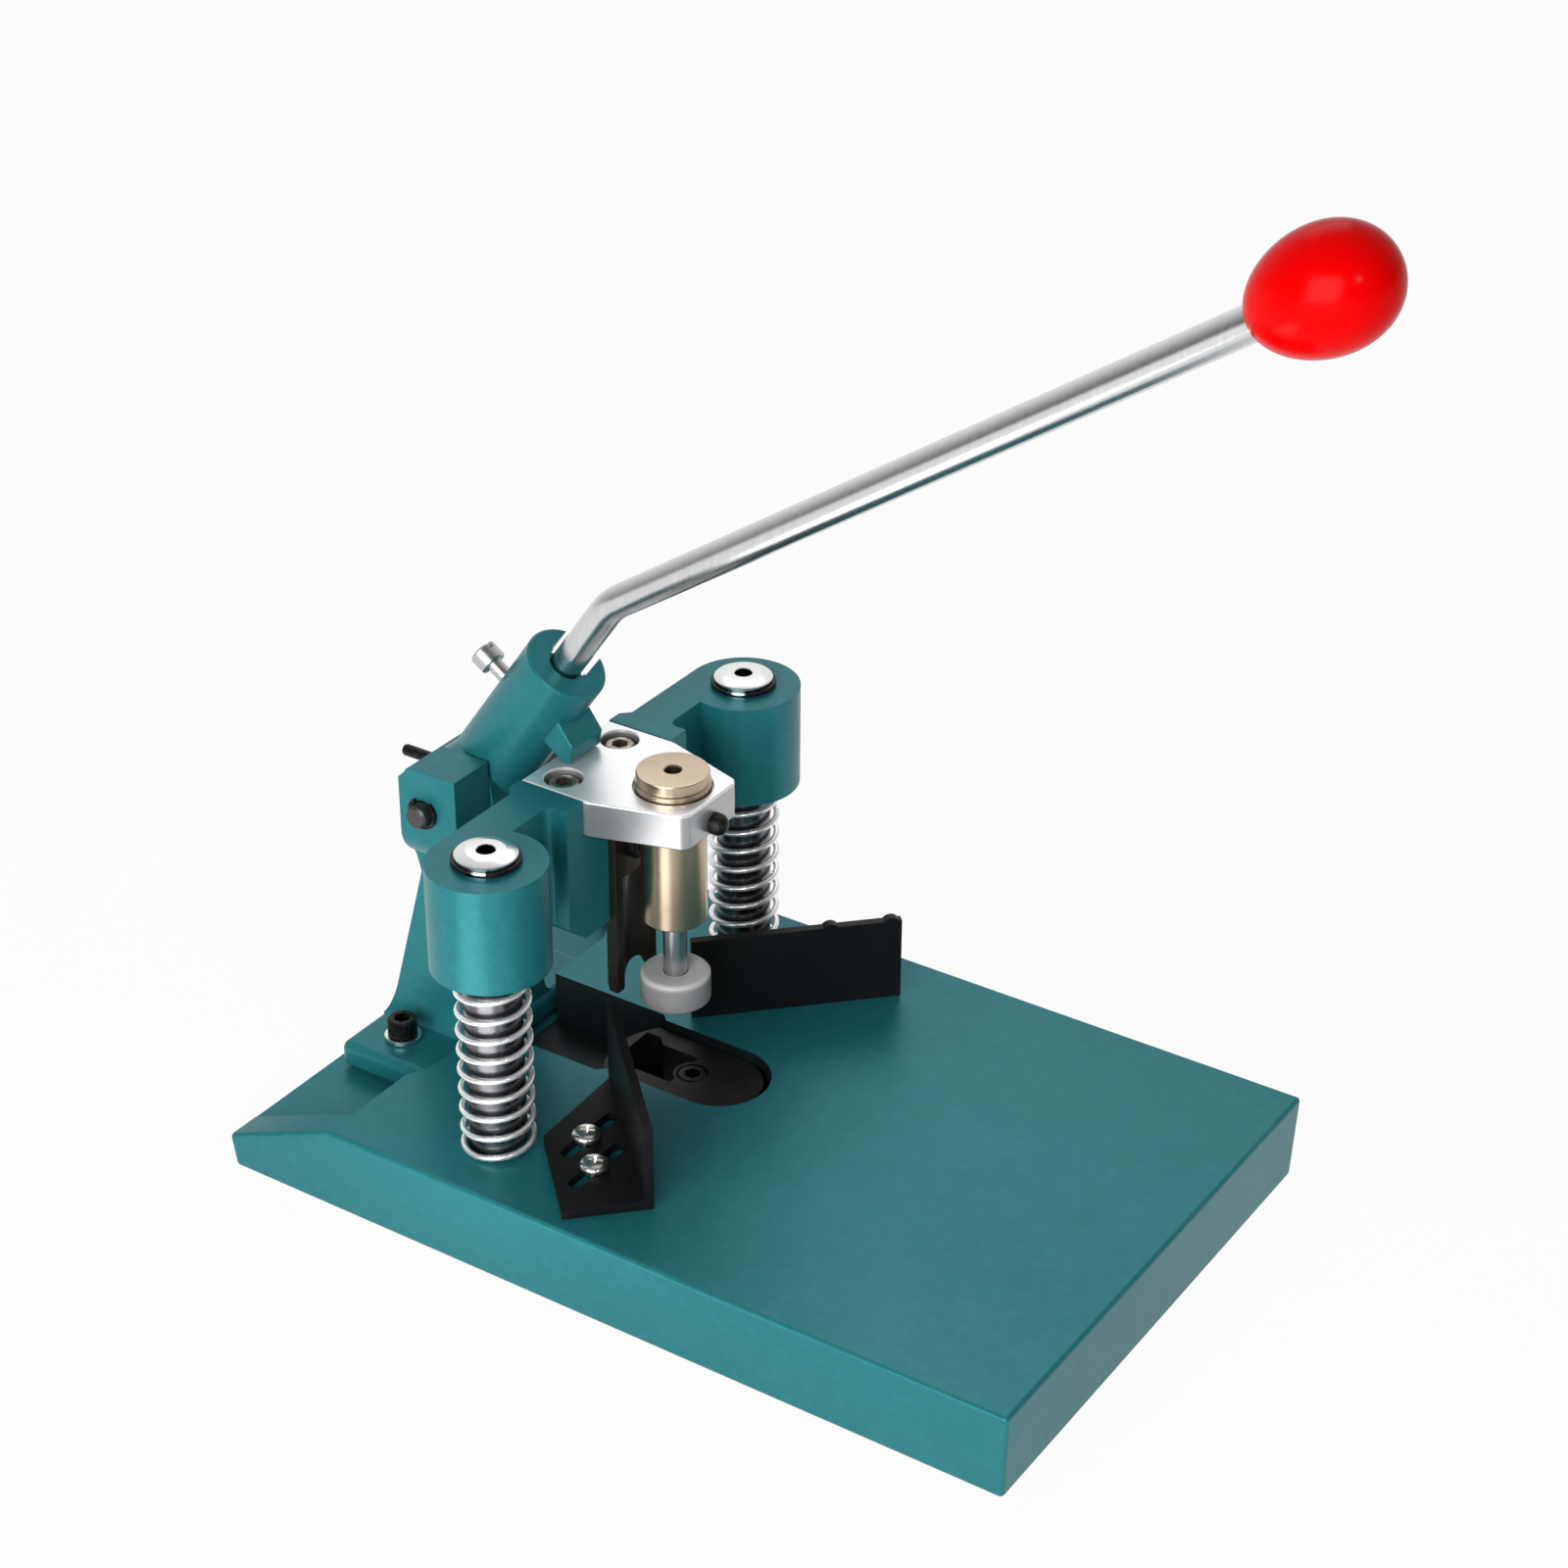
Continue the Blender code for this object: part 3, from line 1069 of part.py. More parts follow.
def build_sleeve(mats, carrier):
    flange_low = CROSSHEAD_TOP - SLEEVE_SINK
    flange_high = flange_low + SLEEVE_FLANGE_HEIGHT
    top = sleeve_top()
    bore = ROD_RADIUS + SEAT_GAP
    roof = top - SLEEVE_ROOF
    edge = SLEEVE_CAP_EDGE
    profile = [(bore, SLEEVE_BOTTOM), (SLEEVE_RADIUS - edge, SLEEVE_BOTTOM),
               (SLEEVE_RADIUS, SLEEVE_BOTTOM + edge), (SLEEVE_RADIUS, flange_low),
               (SLEEVE_FLANGE_RADIUS, flange_low), (SLEEVE_FLANGE_RADIUS, flange_high - edge),
               (SLEEVE_FLANGE_RADIUS - edge, flange_high), (SLEEVE_CAP_RADIUS, flange_high),
               (SLEEVE_CAP_RADIUS, top - edge * 2.0), (SLEEVE_CAP_RADIUS - edge * 2.0, top),
               (SLEEVE_CAP_HOLE, top), (SLEEVE_CAP_HOLE, roof), (SLEEVE_CHAMBER_RADIUS, roof),
               (SLEEVE_CHAMBER_RADIUS, chamber_floor()), (bore, chamber_floor())]
    place("presser_sleeve", turn(profile, ROUND_SIDES, Matrix.Translation((0.0, PRESSER_Y, 0.0))),
          mats["brass"], carrier)


def build_presser(mats, crosshead, presser):
    spot = Matrix.Translation((0.0, PRESSER_Y, 0.0))
    collar = chamber_floor() + SEAT_GAP
    shelf = collar + ROD_COLLAR_HEIGHT
    grip = FOOT_BOTTOM + FOOT_HEIGHT - FOOT_GRIP
    tip = shelf + ROD_ABOVE_COLLAR
    edge = FOOT_EDGE / 2.0
    rod = [(0.0, grip), (ROD_RADIUS, grip), (ROD_RADIUS, collar), (ROD_COLLAR_RADIUS, collar),
           (ROD_COLLAR_RADIUS, shelf), (ROD_RADIUS, shelf), (ROD_RADIUS, tip - edge),
           (ROD_RADIUS - edge, tip), (0.0, tip)]
    place("presser_rod", turn(rod, SMALL_SIDES, spot), mats["steel"], presser)
    top = FOOT_BOTTOM + FOOT_HEIGHT
    bore = ROD_RADIUS + SEAT_GAP
    low = grip - SEAT_GAP
    foot = [(0.0, FOOT_BOTTOM), (FOOT_RADIUS - FOOT_EDGE, FOOT_BOTTOM),
            (FOOT_RADIUS, FOOT_BOTTOM + FOOT_EDGE), (FOOT_RADIUS, top - FOOT_EDGE),
            (FOOT_RADIUS - FOOT_EDGE, top), (bore, top), (bore, low), (0.0, low)]
    place("presser_foot", turn(foot, ROUND_SIDES, spot), mats["foot"], presser)
    helix("presser_spring", mats["spring"], (0.0, PRESSER_Y), PRESSER_SPRING_RADIUS,
          PRESSER_SPRING_WIRE, shelf, sleeve_top() - SLEEVE_ROOF, PRESSER_SPRING_TURNS, crosshead)


# Lever: hub, socket, pressing lug, pin and clips
def nose_centre():
    """The nose's centre, so that its lowest line lies just above the crosshead."""
    return Vector((0.0, POST_LINE_Y + NOSE_BACK, CROSSHEAD_TOP + SEAT_GAP + NOSE_RADIUS))


def lug_outline():
    """In the socket's own frame: Y points to its back, Z along its axis."""
    reach = nose_centre() - PIVOT
    s = reach.dot(SOCKET_DIR)
    p = reach.dot(SOCKET_FRONT)
    root = SOCKET_RADIUS / 2.0
    face = p + NOSE_RADIUS
    end = s + LUG_LENGTH
    points = [(-root, s - NOSE_RADIUS)]
    points += arc(-p, s, NOSE_RADIUS, 270.0, 180.0, 4)
    points += [(LUG_CORNER - face, end), (-root, end + LUG_RISE)]
    return points


def build_lever_socket(mats, carrier):
    """Cut in its own upright frame, which then leans over the table."""
    lean = Matrix.Translation(PIVOT) @ Matrix.Rotation(radians(90.0 - SOCKET_ANGLE), 4, "X")
    across = along((0.0, 0.0, 0.0), (1.0, 0.0, 0.0))
    half = EAR_GAP_HALF - HUB_SIDE_GAP
    sides = ROUND_SIDES + 8
    bar = turn(rod_profile(SOCKET_RADIUS, 0.0, SOCKET_REACH), sides)
    socket = place("lever_socket", bar, mats["paint"], carrier, lean)
    join(socket, tool("add_hub", turn(rod_profile(HUB_RADIUS, -half, half), sides, across)))
    join(socket, tool("add_lug", extrude(lug_outline(), -NOSE_HALF_WIDTH, NOSE_HALF_WIDTH, "YZ")))
    pin = turn(rod_profile(PIN_RADIUS + RUNNING_GAP, -half - OVERRUN, half + OVERRUN), ROUND_SIDES, across)
    cut(socket, tool("cut_hub_bore", pin))
    bore = turn(rod_profile(HANDLE_RADIUS + SEAT_GAP, HANDLE_BORE_END, SOCKET_REACH + OVERRUN), SMALL_SIDES)
    cut(socket, tool("cut_handle_bore", bore))
    low = SOCKET_REACH - MOUTH_SLOT_DEPTH
    high = SOCKET_REACH + OVERRUN
    wide = turn(rod_profile(MOUTH_BORE_RADIUS, low, high), ROUND_SIDES)
    cut(socket, tool("cut_mouth_bore", wide))
    width = MOUTH_SLOT_HALF_WIDTH
    slot = extrude([(-width, low), (width, low), (width, high), (-width, high)],
                   MOUTH_SLOT_START, SOCKET_RADIUS + OVERRUN, "YZ")
    slot.transform(Matrix.Rotation(radians(MOUTH_SLOT_TURN), 4, "Z"))
    cut(socket, tool("cut_mouth_slot", slot))
    lock = turn(rod_profile(LOCK_SCREW_RADIUS + SEAT_GAP, 0.0, SOCKET_RADIUS + OVERRUN), SMALL_SIDES,
                along((0.0, 0.0, LOCK_SCREW_REACH), (0.0, 1.0, 0.0)))
    cut(socket, tool("cut_lock_hole", lock))


def build_pivot(mats):
    reach = EAR_HALF_WIDTH + PIN_STICKOUT
    pin = turn(rod_profile(PIN_RADIUS, -reach, reach, POST_EDGE), ROUND_SIDES, along(PIVOT, (1.0, 0.0, 0.0)))
    place("pivot_pin", pin, mats["steel"])
    for side, word in ((-1.0, "left"), (1.0, "right")):
        near = side * (EAR_HALF_WIDTH + SEAT_GAP)
        far = side * (EAR_HALF_WIDTH + SEAT_GAP + CLIP_THICKNESS)
        outline = ring_outline(PIVOT.y, PIVOT.z, PIN_RADIUS + SEAT_GAP / 2.0, CLIP_RADIUS,
                               CLIP_OPENING_ANGLE, CLIP_OPENING_TOWARDS)
        place("pin_clip_" + word, extrude(outline, min(near, far), max(near, far), "YZ"), mats["oxide"])


# Handle: bent rod, knob, lock screw and stop screw
def handle_path():
    """Out of the socket along its axis, round the bend and straight to the knob."""
    start = PIVOT + SOCKET_DIR * (HANDLE_BORE_END + SEAT_GAP)
    corner = PIVOT + SOCKET_DIR * HANDLE_BEND_REACH
    rise = radians(HANDLE_RISE)
    out = Vector((0.0, -cos(rise), sin(rise)))
    turn_angle = radians(SOCKET_ANGLE - HANDLE_RISE)
    setback = HANDLE_BEND_RADIUS * tan(turn_angle / 2.0)
    first = corner - SOCKET_DIR * setback
    centre = first + SOCKET_FRONT * HANDLE_BEND_RADIUS
    points = [start]
    for i in range(HANDLE_BEND_STEPS + 1):
        a = turn_angle * i / HANDLE_BEND_STEPS
        points.append(centre - SOCKET_FRONT * (HANDLE_BEND_RADIUS * cos(a))
                      + SOCKET_DIR * (HANDLE_BEND_RADIUS * sin(a)))
    end = corner + out * HANDLE_LENGTH
    return points, end, out


def swept_rod(points, radius, sides):
    bm = bmesh.new()
    rings = []
    side = Vector((1.0, 0.0, 0.0))
    for i, point in enumerate(points):
        before = points[max(i - 1, 0)]
        after = points[min(i + 1, len(points) - 1)]
        heading = (after - before).normalized()
        up = side.cross(heading).normalized()
        rings.append([bm.verts.new(point + side * (radius * cos(2.0 * pi * k / sides))
                                   + up * (radius * sin(2.0 * pi * k / sides)))
                      for k in range(sides)])
    bm.faces.new(rings[0])
    bm.faces.new(rings[-1])
    for first, second in zip(rings, rings[1:]):
        for k in range(sides):
            n = (k + 1) % sides
            bm.faces.new((first[k], first[n], second[n], second[k]))
    return bm


def knob_profile():
    """An egg, fuller towards its free end, with a blind hole for the rod."""
    half = KNOB_LENGTH / 2.0
    hole = HANDLE_RADIUS + SEAT_GAP
    mouth = hole + POST_EDGE
    points = [(0.0, half * cos(radians(KNOB_RING_ANGLES[0])))]
    for angle in KNOB_RING_ANGLES:
        u = cos(radians(angle))
        radius = KNOB_RADIUS * sin(radians(angle)) * (1.0 + KNOB_FULLNESS_SHARE * u)
        if u < 0.0 and radius < mouth:
            break
        points.append((radius, half * u))
    last = points[-1][1]
    points += [(mouth, last - POST_EDGE), (hole, last - POST_EDGE), (hole, last + KNOB_GRIP),
               (0.0, last + KNOB_GRIP)]
    return points, last


def build_handle(mats, carrier):
    points, end, out = handle_path()
    profile, mouth = knob_profile()
    inside = end + out * (mouth + KNOB_GRIP - SEAT_GAP)
    place("handle_rod", swept_rod(points + [inside], HANDLE_RADIUS, SMALL_SIDES), mats["steel"], carrier)
    place("handle_knob", turn(profile, ROUND_SIDES, along(end, out)), mats["knob"], carrier)
    build_lock_screw(mats, carrier)


def build_lock_screw(mats, carrier):
    """Bears on the rod through the socket's back."""
    tip = HANDLE_RADIUS + SEAT_GAP
    head = SOCKET_RADIUS + LOCK_SCREW_STICKOUT - LOCK_HEAD_HEIGHT
    top = head + LOCK_HEAD_HEIGHT
    edge = LOCK_HEAD_RADIUS * HEAD_EDGE_SHARE
    profile = [(0.0, tip), (LOCK_SCREW_RADIUS, tip), (LOCK_SCREW_RADIUS, head),
               (LOCK_HEAD_RADIUS - edge, head), (LOCK_HEAD_RADIUS, head + edge),
               (LOCK_HEAD_RADIUS, top - edge), (LOCK_HEAD_RADIUS - edge, top), (0.0, top)]
    seat = along(PIVOT + SOCKET_DIR * LOCK_SCREW_REACH, -SOCKET_FRONT)
    screw = place("handle_lock_screw", turn(profile, SMALL_SIDES), mats["steel"], carrier, seat)
    width = LOCK_SLOT_WIDTH / 2.0
    low = top - LOCK_SLOT_DEPTH
    groove = extrude([(-width, low), (width, low), (width, top + OVERRUN), (-width, top + OVERRUN)],
                     -LOCK_HEAD_RADIUS - OVERRUN, LOCK_HEAD_RADIUS + OVERRUN, "XZ")
    cut(screw, tool("cut_lock_slot", groove))


def build_stop_screw(mats):
    """Set in the yoke's bridge, with its tip just short of the lever's hub."""
    tip = HUB_RADIUS + SEAT_GAP
    root = (0.0, PIVOT.y, STOP_SCREW_HEIGHT)
    stop = turn(rod_profile(STOP_SCREW_RADIUS, tip, STOP_SCREW_REACH, STOP_SCREW_RADIUS * HEAD_EDGE_SHARE),
                SMALL_SIDES, along(root, (0.0, 1.0, 0.0)))
    place("stop_screw", stop, mats["oxide"])


def build_materials():
    return {
        "paint": material("teal_enamel", PAINT, 0.0, 0.32),
        "steel": material("brushed_steel", STEEL, 1.0, 0.26),
        "chrome": material("ground_chrome", CHROME, 1.0, 0.12),
        "spring": material("spring_steel", STEEL, 1.0, 0.22),
        "oxide": material("black_oxide", BLACK_OXIDE, 0.6, 0.40),
        "knife": material("knife_steel", KNIFE_BROWN, 0.5, 0.45),
        "fence": material("black_fence", FENCE_BLACK, 0.0, 0.48),
        "aluminium": material("milled_aluminium", ALUMINIUM, 1.0, 0.24),
        "brass": material("turned_brass", BRASS, 1.0, 0.28),
        "foot": material("grey_nylon", FOOT_GREY, 0.0, 0.40),
        "knob": material("red_plastic", KNOB_RED, 0.0, 0.14),
        "zinc": material("zinc_plate", ZINC, 1.0, 0.28),
        "die": material("die_steel", DIE_DARK, 0.6, 0.50),
    }


def build():
    clear_scene()
    mats = build_materials()
    build_base(mats)
    build_posts(mats)
    build_die(mats)
    build_fence("left", -1.0, 0.0, False, mats)
    build_fence("right", 1.0, FENCE_RIGHT_SET, True, mats)
    build_fence_screws(mats)
    build_bracket(mats)
    build_bracket_bolts(mats)
    build_pivot(mats)
    build_stop_screw(mats)
    crosshead = pivot_empty("crosshead_slide", (0.0, POST_LINE_Y, CROSSHEAD_TOP))
    build_crosshead(mats, crosshead)
    build_plate(mats, crosshead)
    build_blade(mats, crosshead)
    build_sleeve(mats, crosshead)
    presser = pivot_empty("presser_slide", (0.0, PRESSER_Y, FOOT_BOTTOM), crosshead)
    build_presser(mats, crosshead, presser)
    lever = pivot_empty("lever_pivot", PIVOT)
    build_lever_socket(mats, lever)
    build_handle(mats, lever)
    bpy.context.view_layer.update()


build()
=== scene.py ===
"""The looks of a desk corner rounder: enamelled castings, ground posts, open
springs, black angle fences, a brass presser and a long lever with a red knob.

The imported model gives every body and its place. Each piece here is drawn in
millimetres in the same frame and stands for the solid it names.
"""

import bpy
from math import acos, atan2, cos, degrees, pi, radians, sin, sqrt, tan
from mathutils import Matrix, Vector


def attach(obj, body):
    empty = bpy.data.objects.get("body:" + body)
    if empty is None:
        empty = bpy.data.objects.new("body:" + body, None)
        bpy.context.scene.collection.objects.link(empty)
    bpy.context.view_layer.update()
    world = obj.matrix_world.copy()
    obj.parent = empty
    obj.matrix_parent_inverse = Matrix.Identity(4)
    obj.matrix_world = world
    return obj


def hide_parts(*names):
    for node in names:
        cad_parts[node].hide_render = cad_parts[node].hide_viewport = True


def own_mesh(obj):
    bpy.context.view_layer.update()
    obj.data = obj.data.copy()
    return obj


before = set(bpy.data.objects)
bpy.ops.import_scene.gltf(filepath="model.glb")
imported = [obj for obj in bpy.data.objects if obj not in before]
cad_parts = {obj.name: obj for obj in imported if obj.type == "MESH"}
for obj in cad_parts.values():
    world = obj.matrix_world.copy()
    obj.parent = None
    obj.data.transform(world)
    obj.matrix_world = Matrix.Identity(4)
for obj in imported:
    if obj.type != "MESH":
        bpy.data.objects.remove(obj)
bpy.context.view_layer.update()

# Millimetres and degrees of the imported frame
MM = 0.001
SIDES = ((-1.0, "left"), (1.0, "right"))
TABLE = 30.5
BASE_HALF_WIDTH = 95.0
BASE_REACH = 146.0
POST_X = 69.0
POST_Y = 54.0
POST_SHOULDER = 134.3
RETURN_COIL_LOW = 30.8
RETURN_COIL_LENGTH = 66.9
CROSSHEAD_TOP = 134.0
PLATE_LOW = 121.5
PLATE_SCREW_X = 15.0
PLATE_SCREW_Y = 65.4
BLADE_SCREW_Z = 108.0
PRESSER_Y = 34.0
PRESSER_COIL_HIGH = 136.5
PRESSER_COIL_LENGTH = 40.9
CLAMP_SCREW_Z = 125.5
DIE_SCREW_Y = 27.8
FENCE_X = -19.8
FENCE_Y = 43.6
FENCE_Z = 30.8
FENCE_LENGTH = 71.5
FENCE_HEIGHT = 29.8
FENCE_SCREW_SHARES = (0.483, 0.711)
FENCE_SCREW_INSET = 15.3
BRACKET_SCREW_X = 30.5
BRACKET_SCREW_Y = 125.0
STOP_PLACE = (0.0, 109.0, 113.5)
PIVOT = Vector((0.0, 109.0, 115.5))
SOCKET_LEAN = 35.0
ROD_RISE = 33.7
ROD_CORNER = 92.0
ROD_BEND = 25.0
ROD_REACH = 270.6
LOCK_SCREW_ALONG = 37.0
KNOB_RADIUS = 17.15
KNOB_HALF_LENGTH = 22.4

# The photograph's camera, fitted to the base, the posts and the handle.
# Its distance is in metres.
CAMERA_AZIMUTH = -56.746
CAMERA_ELEVATION = 29.519
CAMERA_ROLL = 0.303
CAMERA_TARGET = (188.502, 116.088, 20.0)
CAMERA_DISTANCE = 1.252752
FOCAL_PIXELS = 3328.816
PHOTO_PIXELS = 1600.0
SENSOR = 36.0

# Levels of light
FLOOR_COLOUR = (0.90, 0.90, 0.90)
FLOOR_GLOW = 0.94
ROOM_LIGHT = 0.26
BRIGHT_SIDE = (0.80, 0.53, 0.28)


# Shader sums as Python
class Flow:
    """A socket that gives a value. Sums on it become nodes."""

    def __init__(self, nodes, socket):
        self.nodes = nodes
        self.socket = socket

    def sum(self, operation, other=0.0, flip=False):
        first, second = (other, self) if flip else (self, other)
        return self.nodes.add("ShaderNodeMath", {"operation": operation}, {0: first, 1: second})

    def __add__(self, other):
        return self.sum("ADD", other)

    def __radd__(self, other):
        return self.sum("ADD", other, True)

    def __sub__(self, other):
        return self.sum("SUBTRACT", other)

    def __rsub__(self, other):
        return self.sum("SUBTRACT", other, True)

    def __mul__(self, other):
        return self.sum("MULTIPLY", other)

    def __rmul__(self, other):
        return self.sum("MULTIPLY", other, True)


class Nodes:
    """A node tree, with one word that adds a node."""

    def __init__(self, tree):
        self.tree = tree

    def feed(self, socket, value):
        if isinstance(value, Flow):
            self.tree.links.new(value.socket, socket)
        elif hasattr(value, "__len__") and len(value) == 3 and len(socket.default_value) == 4:
            socket.default_value = (*value, 1.0)
        else:
            socket.default_value = value

    def add(self, kind, settings=None, inputs=None, output=0):
        node = self.tree.nodes.new(kind)
        for key, value in (settings or {}).items():
            if key == "stops":
                self.stops(node, value)
            else:
                setattr(node, key, value)
        for key, value in (inputs or {}).items():
            self.feed(node.inputs[key], value)
        return Flow(self, node.outputs[output])

    def stops(self, node, values):
        elements = node.color_ramp.elements
        while len(elements) < len(values):
            elements.new(0.5)
        for element, (position, level) in zip(elements, values):
            element.position = position
            element.color = (level, level, level, 1.0)

    def looking(self, *rays):
        """1 for a ray of any of these kinds, named as Light Path names them."""
        found = [self.add("ShaderNodeLightPath", output=ray) for ray in rays]
        total = found[0]
        for other in found[1:]:
            total = total.sum("MAXIMUM", other)
        return total


class Finish(Nodes):
    """A material with a Principled shader, and short words for its nodes."""

    def __init__(self, name, **fixed):
        self.material = bpy.data.materials.new(name)
        self.material.use_nodes = True
        super().__init__(self.material.node_tree)
        self.shader = self.tree.nodes["Principled BSDF"]
        self.set(**fixed)

    def set(self, **values):
        for key, value in values.items():
            socket = key.replace("_", " ").title().replace("Ior", "IOR")
            self.feed(self.shader.inputs[socket], value)

    def spot(self, stretch=(1.0, 1.0, 1.0), turn=(0.0, 0.0, 0.0)):
        """Object coordinates, in metres before the stretch."""
        seat = self.add("ShaderNodeTexCoord", output="Object")
        return self.add("ShaderNodeMapping", {"vector_type": "POINT"},
                        {"Vector": seat, "Rotation": turn, "Scale": stretch})

    def part(self, seat, axis):
        """One number of a place: 0, 1 or 2 for X, Y or Z."""
        return self.add("ShaderNodeSeparateXYZ", {}, {"Vector": seat}, axis)

    def noise(self, scale, detail=3.0, rough=0.5, place=None):
        return self.add("ShaderNodeTexNoise", {},
                        {"Vector": place or self.spot(), "Scale": scale, "Detail": detail,
                         "Roughness": rough})

    def ramp(self, value, *stops):
        return self.add("ShaderNodeValToRGB", {"stops": stops}, {"Fac": value})

    def blend(self, factor, first, second):
        return self.add("ShaderNodeMix", {"data_type": "RGBA"},
                        {0: factor, 6: first, 7: second}, 2)

    def bump(self, height, distance, strength=1.0):
        normal = self.add("ShaderNodeBump", {},
                          {"Height": height, "Distance": distance, "Strength": strength})
        self.feed(self.shader.inputs["Normal"], normal)


# Finishes
def teal_enamel():
    """Thick sprayed enamel over a fettled iron casting."""
    f = Finish("teal_enamel", metallic=0.32, ior=1.5, specular_ior_level=0.22)
    cloud = f.noise(9.0, 4.0, 0.55)
    mottle = f.noise(240.0, 3.0, 0.6)
    deep = f.blend(f.ramp(cloud, (0.32, 0.0), (0.70, 1.0)),
                   (0.014, 0.160, 0.180), (0.020, 0.192, 0.215))
    worn = f.ramp(mottle, (0.45, 0.0), (0.80, 0.35))
    f.set(base_color=f.blend(worn, deep, (0.034, 0.236, 0.262)),
          roughness=0.29 + 0.10 * f.noise(55.0, 3.0))
    f.bump(f.noise(420.0, 2.0) * 0.5 + f.noise(60.0, 3.0), 0.00012, 0.35)
    return f


def ground_chrome():
    """A guide post: a shaft painted dark grey as painted shade, a bright head, and a centre hole
    painted near-black as painted shade.
    """
    f = Finish("ground_chrome", metallic=1.0)
    seat = f.spot()
    side = f.part(seat, 0).sum("ABSOLUTE") - POST_X * MM
    front = f.part(seat, 1) - POST_Y * MM
    head = f.part(seat, 2).sum("GREATER_THAN", (POST_SHOULDER - 0.1) * MM)
    # Painted shade: the deep centre hole is painted near-black.
    centre = (side * side + front * front).sum("LESS_THAN", (2.95 * MM) ** 2)
    rings = f.noise(1.0, 2.0, 0.5, f.spot((20.0, 20.0, 2600.0)))
    # Painted shade: the shaft below the head is painted dark grey, standing in for the dark room
    # it reflects; the head keeps a bright steel colour.
    shaded_shaft = f.blend(f.noise(30.0), (0.13, 0.13, 0.14), (0.20, 0.20, 0.21))
    top = f.blend(head, shaded_shaft, (0.78, 0.78, 0.78))
    f.set(base_color=f.blend(centre, top, (0.010, 0.010, 0.010)), roughness=0.20 + 0.08 * rings)
    f.bump(rings, 0.000003, 0.3)
    return f


def spring_wire():
    """Bright drawn spring wire."""
    f = Finish("spring_wire", metallic=0.80)
    drawn = f.noise(260.0, 2.0)
    f.set(base_color=f.blend(f.ramp(drawn, (0.3, 0.0), (0.8, 1.0)),
                             (0.98, 0.98, 0.98), (0.84, 0.84, 0.85)),
          roughness=0.22 + 0.14 * drawn)
    f.bump(drawn, 0.000006, 0.3)
    return f


def brushed_rod():
    """Drawn bar with streaks along its length."""
    f = Finish("brushed_rod", metallic=1.0)
    lean = f.spot((900.0, 900.0, 14.0), turn=(radians(ROD_RISE - 90.0), 0.0, 0.0))
    streak = f.noise(1.0, 3.0, 0.5, lean)
    stain = f.noise(34.0, 4.0)
    f.set(base_color=f.blend(streak, (0.60, 0.60, 0.61), (0.74, 0.74, 0.74)),
          roughness=0.19 + 0.06 * streak + 0.05 * stain)
    f.bump(streak, 0.000004, 0.3)
    return f


def satin_steel():
    """Turned steel of the presser's rod and the thumb screw."""
    f = Finish("satin_steel", metallic=1.0)
    turn = f.noise(1.0, 2.0, 0.5, f.spot((60.0, 60.0, 1800.0)))
    f.set(base_color=f.blend(turn, (0.46, 0.46, 0.46), (0.60, 0.60, 0.60)),
          roughness=0.26 + 0.10 * turn)
    f.bump(turn, 0.000006, 0.4)
    return f


def oiled_pin():
    """The lever's pin, browned by oil."""
    f = Finish("oiled_pin", metallic=0.85)
    film = f.noise(300.0, 4.0, 0.6)
    f.set(base_color=f.blend(film, (0.050, 0.047, 0.044), (0.130, 0.122, 0.110)),
          roughness=0.30 + 0.20 * film)
    f.bump(film, 0.00001, 0.4)
    return f


def rubbed_oxide():
    """Socket heads whose black has been rubbed off to bronze."""
    f = Finish("rubbed_oxide", metallic=0.9)
    rub = f.noise(520.0, 4.0, 0.6)
    f.set(base_color=f.blend(f.ramp(rub, (0.30, 0.0), (0.62, 1.0)),
                             (0.13, 0.11, 0.09), (0.46, 0.40, 0.34)),
          roughness=0.28 + 0.16 * rub)
    f.bump(f.noise(1800.0, 2.0), 0.00002, 0.4)
    return f


def slot_shade_finish():
    """Near-black faces of the slot, painted as painted shade inside it."""
    f = Finish("slot_shade_finish", metallic=0.6)
    lines = f.noise(1.0, 3.0, 0.5, f.spot((1200.0, 60.0, 1200.0)))
    oil = f.noise(70.0, 4.0)
    # Painted shade: the slot's faces are painted near-black.
    f.set(base_color=f.blend(oil, (0.010, 0.020, 0.022), (0.024, 0.038, 0.041)),
          roughness=0.40 + 0.16 * lines)
    f.bump(lines, 0.00002, 0.4)
    return f


def black_oxide():
    """Blackened screws, rubbed a little brighter in patches."""
    f = Finish("black_oxide", metallic=0.75)
    rub = f.noise(700.0, 4.0, 0.6)
    f.set(base_color=f.blend(f.ramp(rub, (0.50, 0.0), (0.78, 1.0)),
                             (0.012, 0.012, 0.013), (0.060, 0.058, 0.056)),
          roughness=0.32 + 0.20 * rub)
    f.bump(f.noise(1800.0, 2.0), 0.00003, 0.4)
    return f


def heat_treated_knife():
    """Brown-black tool steel, oiled, with grinding marks down its length."""
    f = Finish("heat_treated_knife", metallic=0.7)
    grind = f.noise(1.0, 3.0, 0.5, f.spot((1700.0, 1700.0, 60.0)))
    tint = f.noise(70.0, 4.0, 0.6)
    f.set(base_color=f.blend(tint, (0.020, 0.015, 0.012), (0.060, 0.045, 0.036)),
          roughness=0.26 + 0.20 * grind, coat_weight=0.15 + 0.1 * tint)
    f.bump(grind, 0.00004, 0.45)
    return f


def fence_black():
    """Satin black coat on pressed steel."""
    f = Finish("fence_black", ior=1.48, specular_ior_level=0.18)
    grain = f.noise(1500.0, 3.0, 0.6)
    patch = f.noise(26.0, 4.0)
    f.set(base_color=f.blend(patch, (0.004, 0.004, 0.005), (0.008, 0.008, 0.009)),
          roughness=0.34 + 0.14 * patch + 0.05 * grain)
    f.bump(grain, 0.00004, 0.5)
    return f


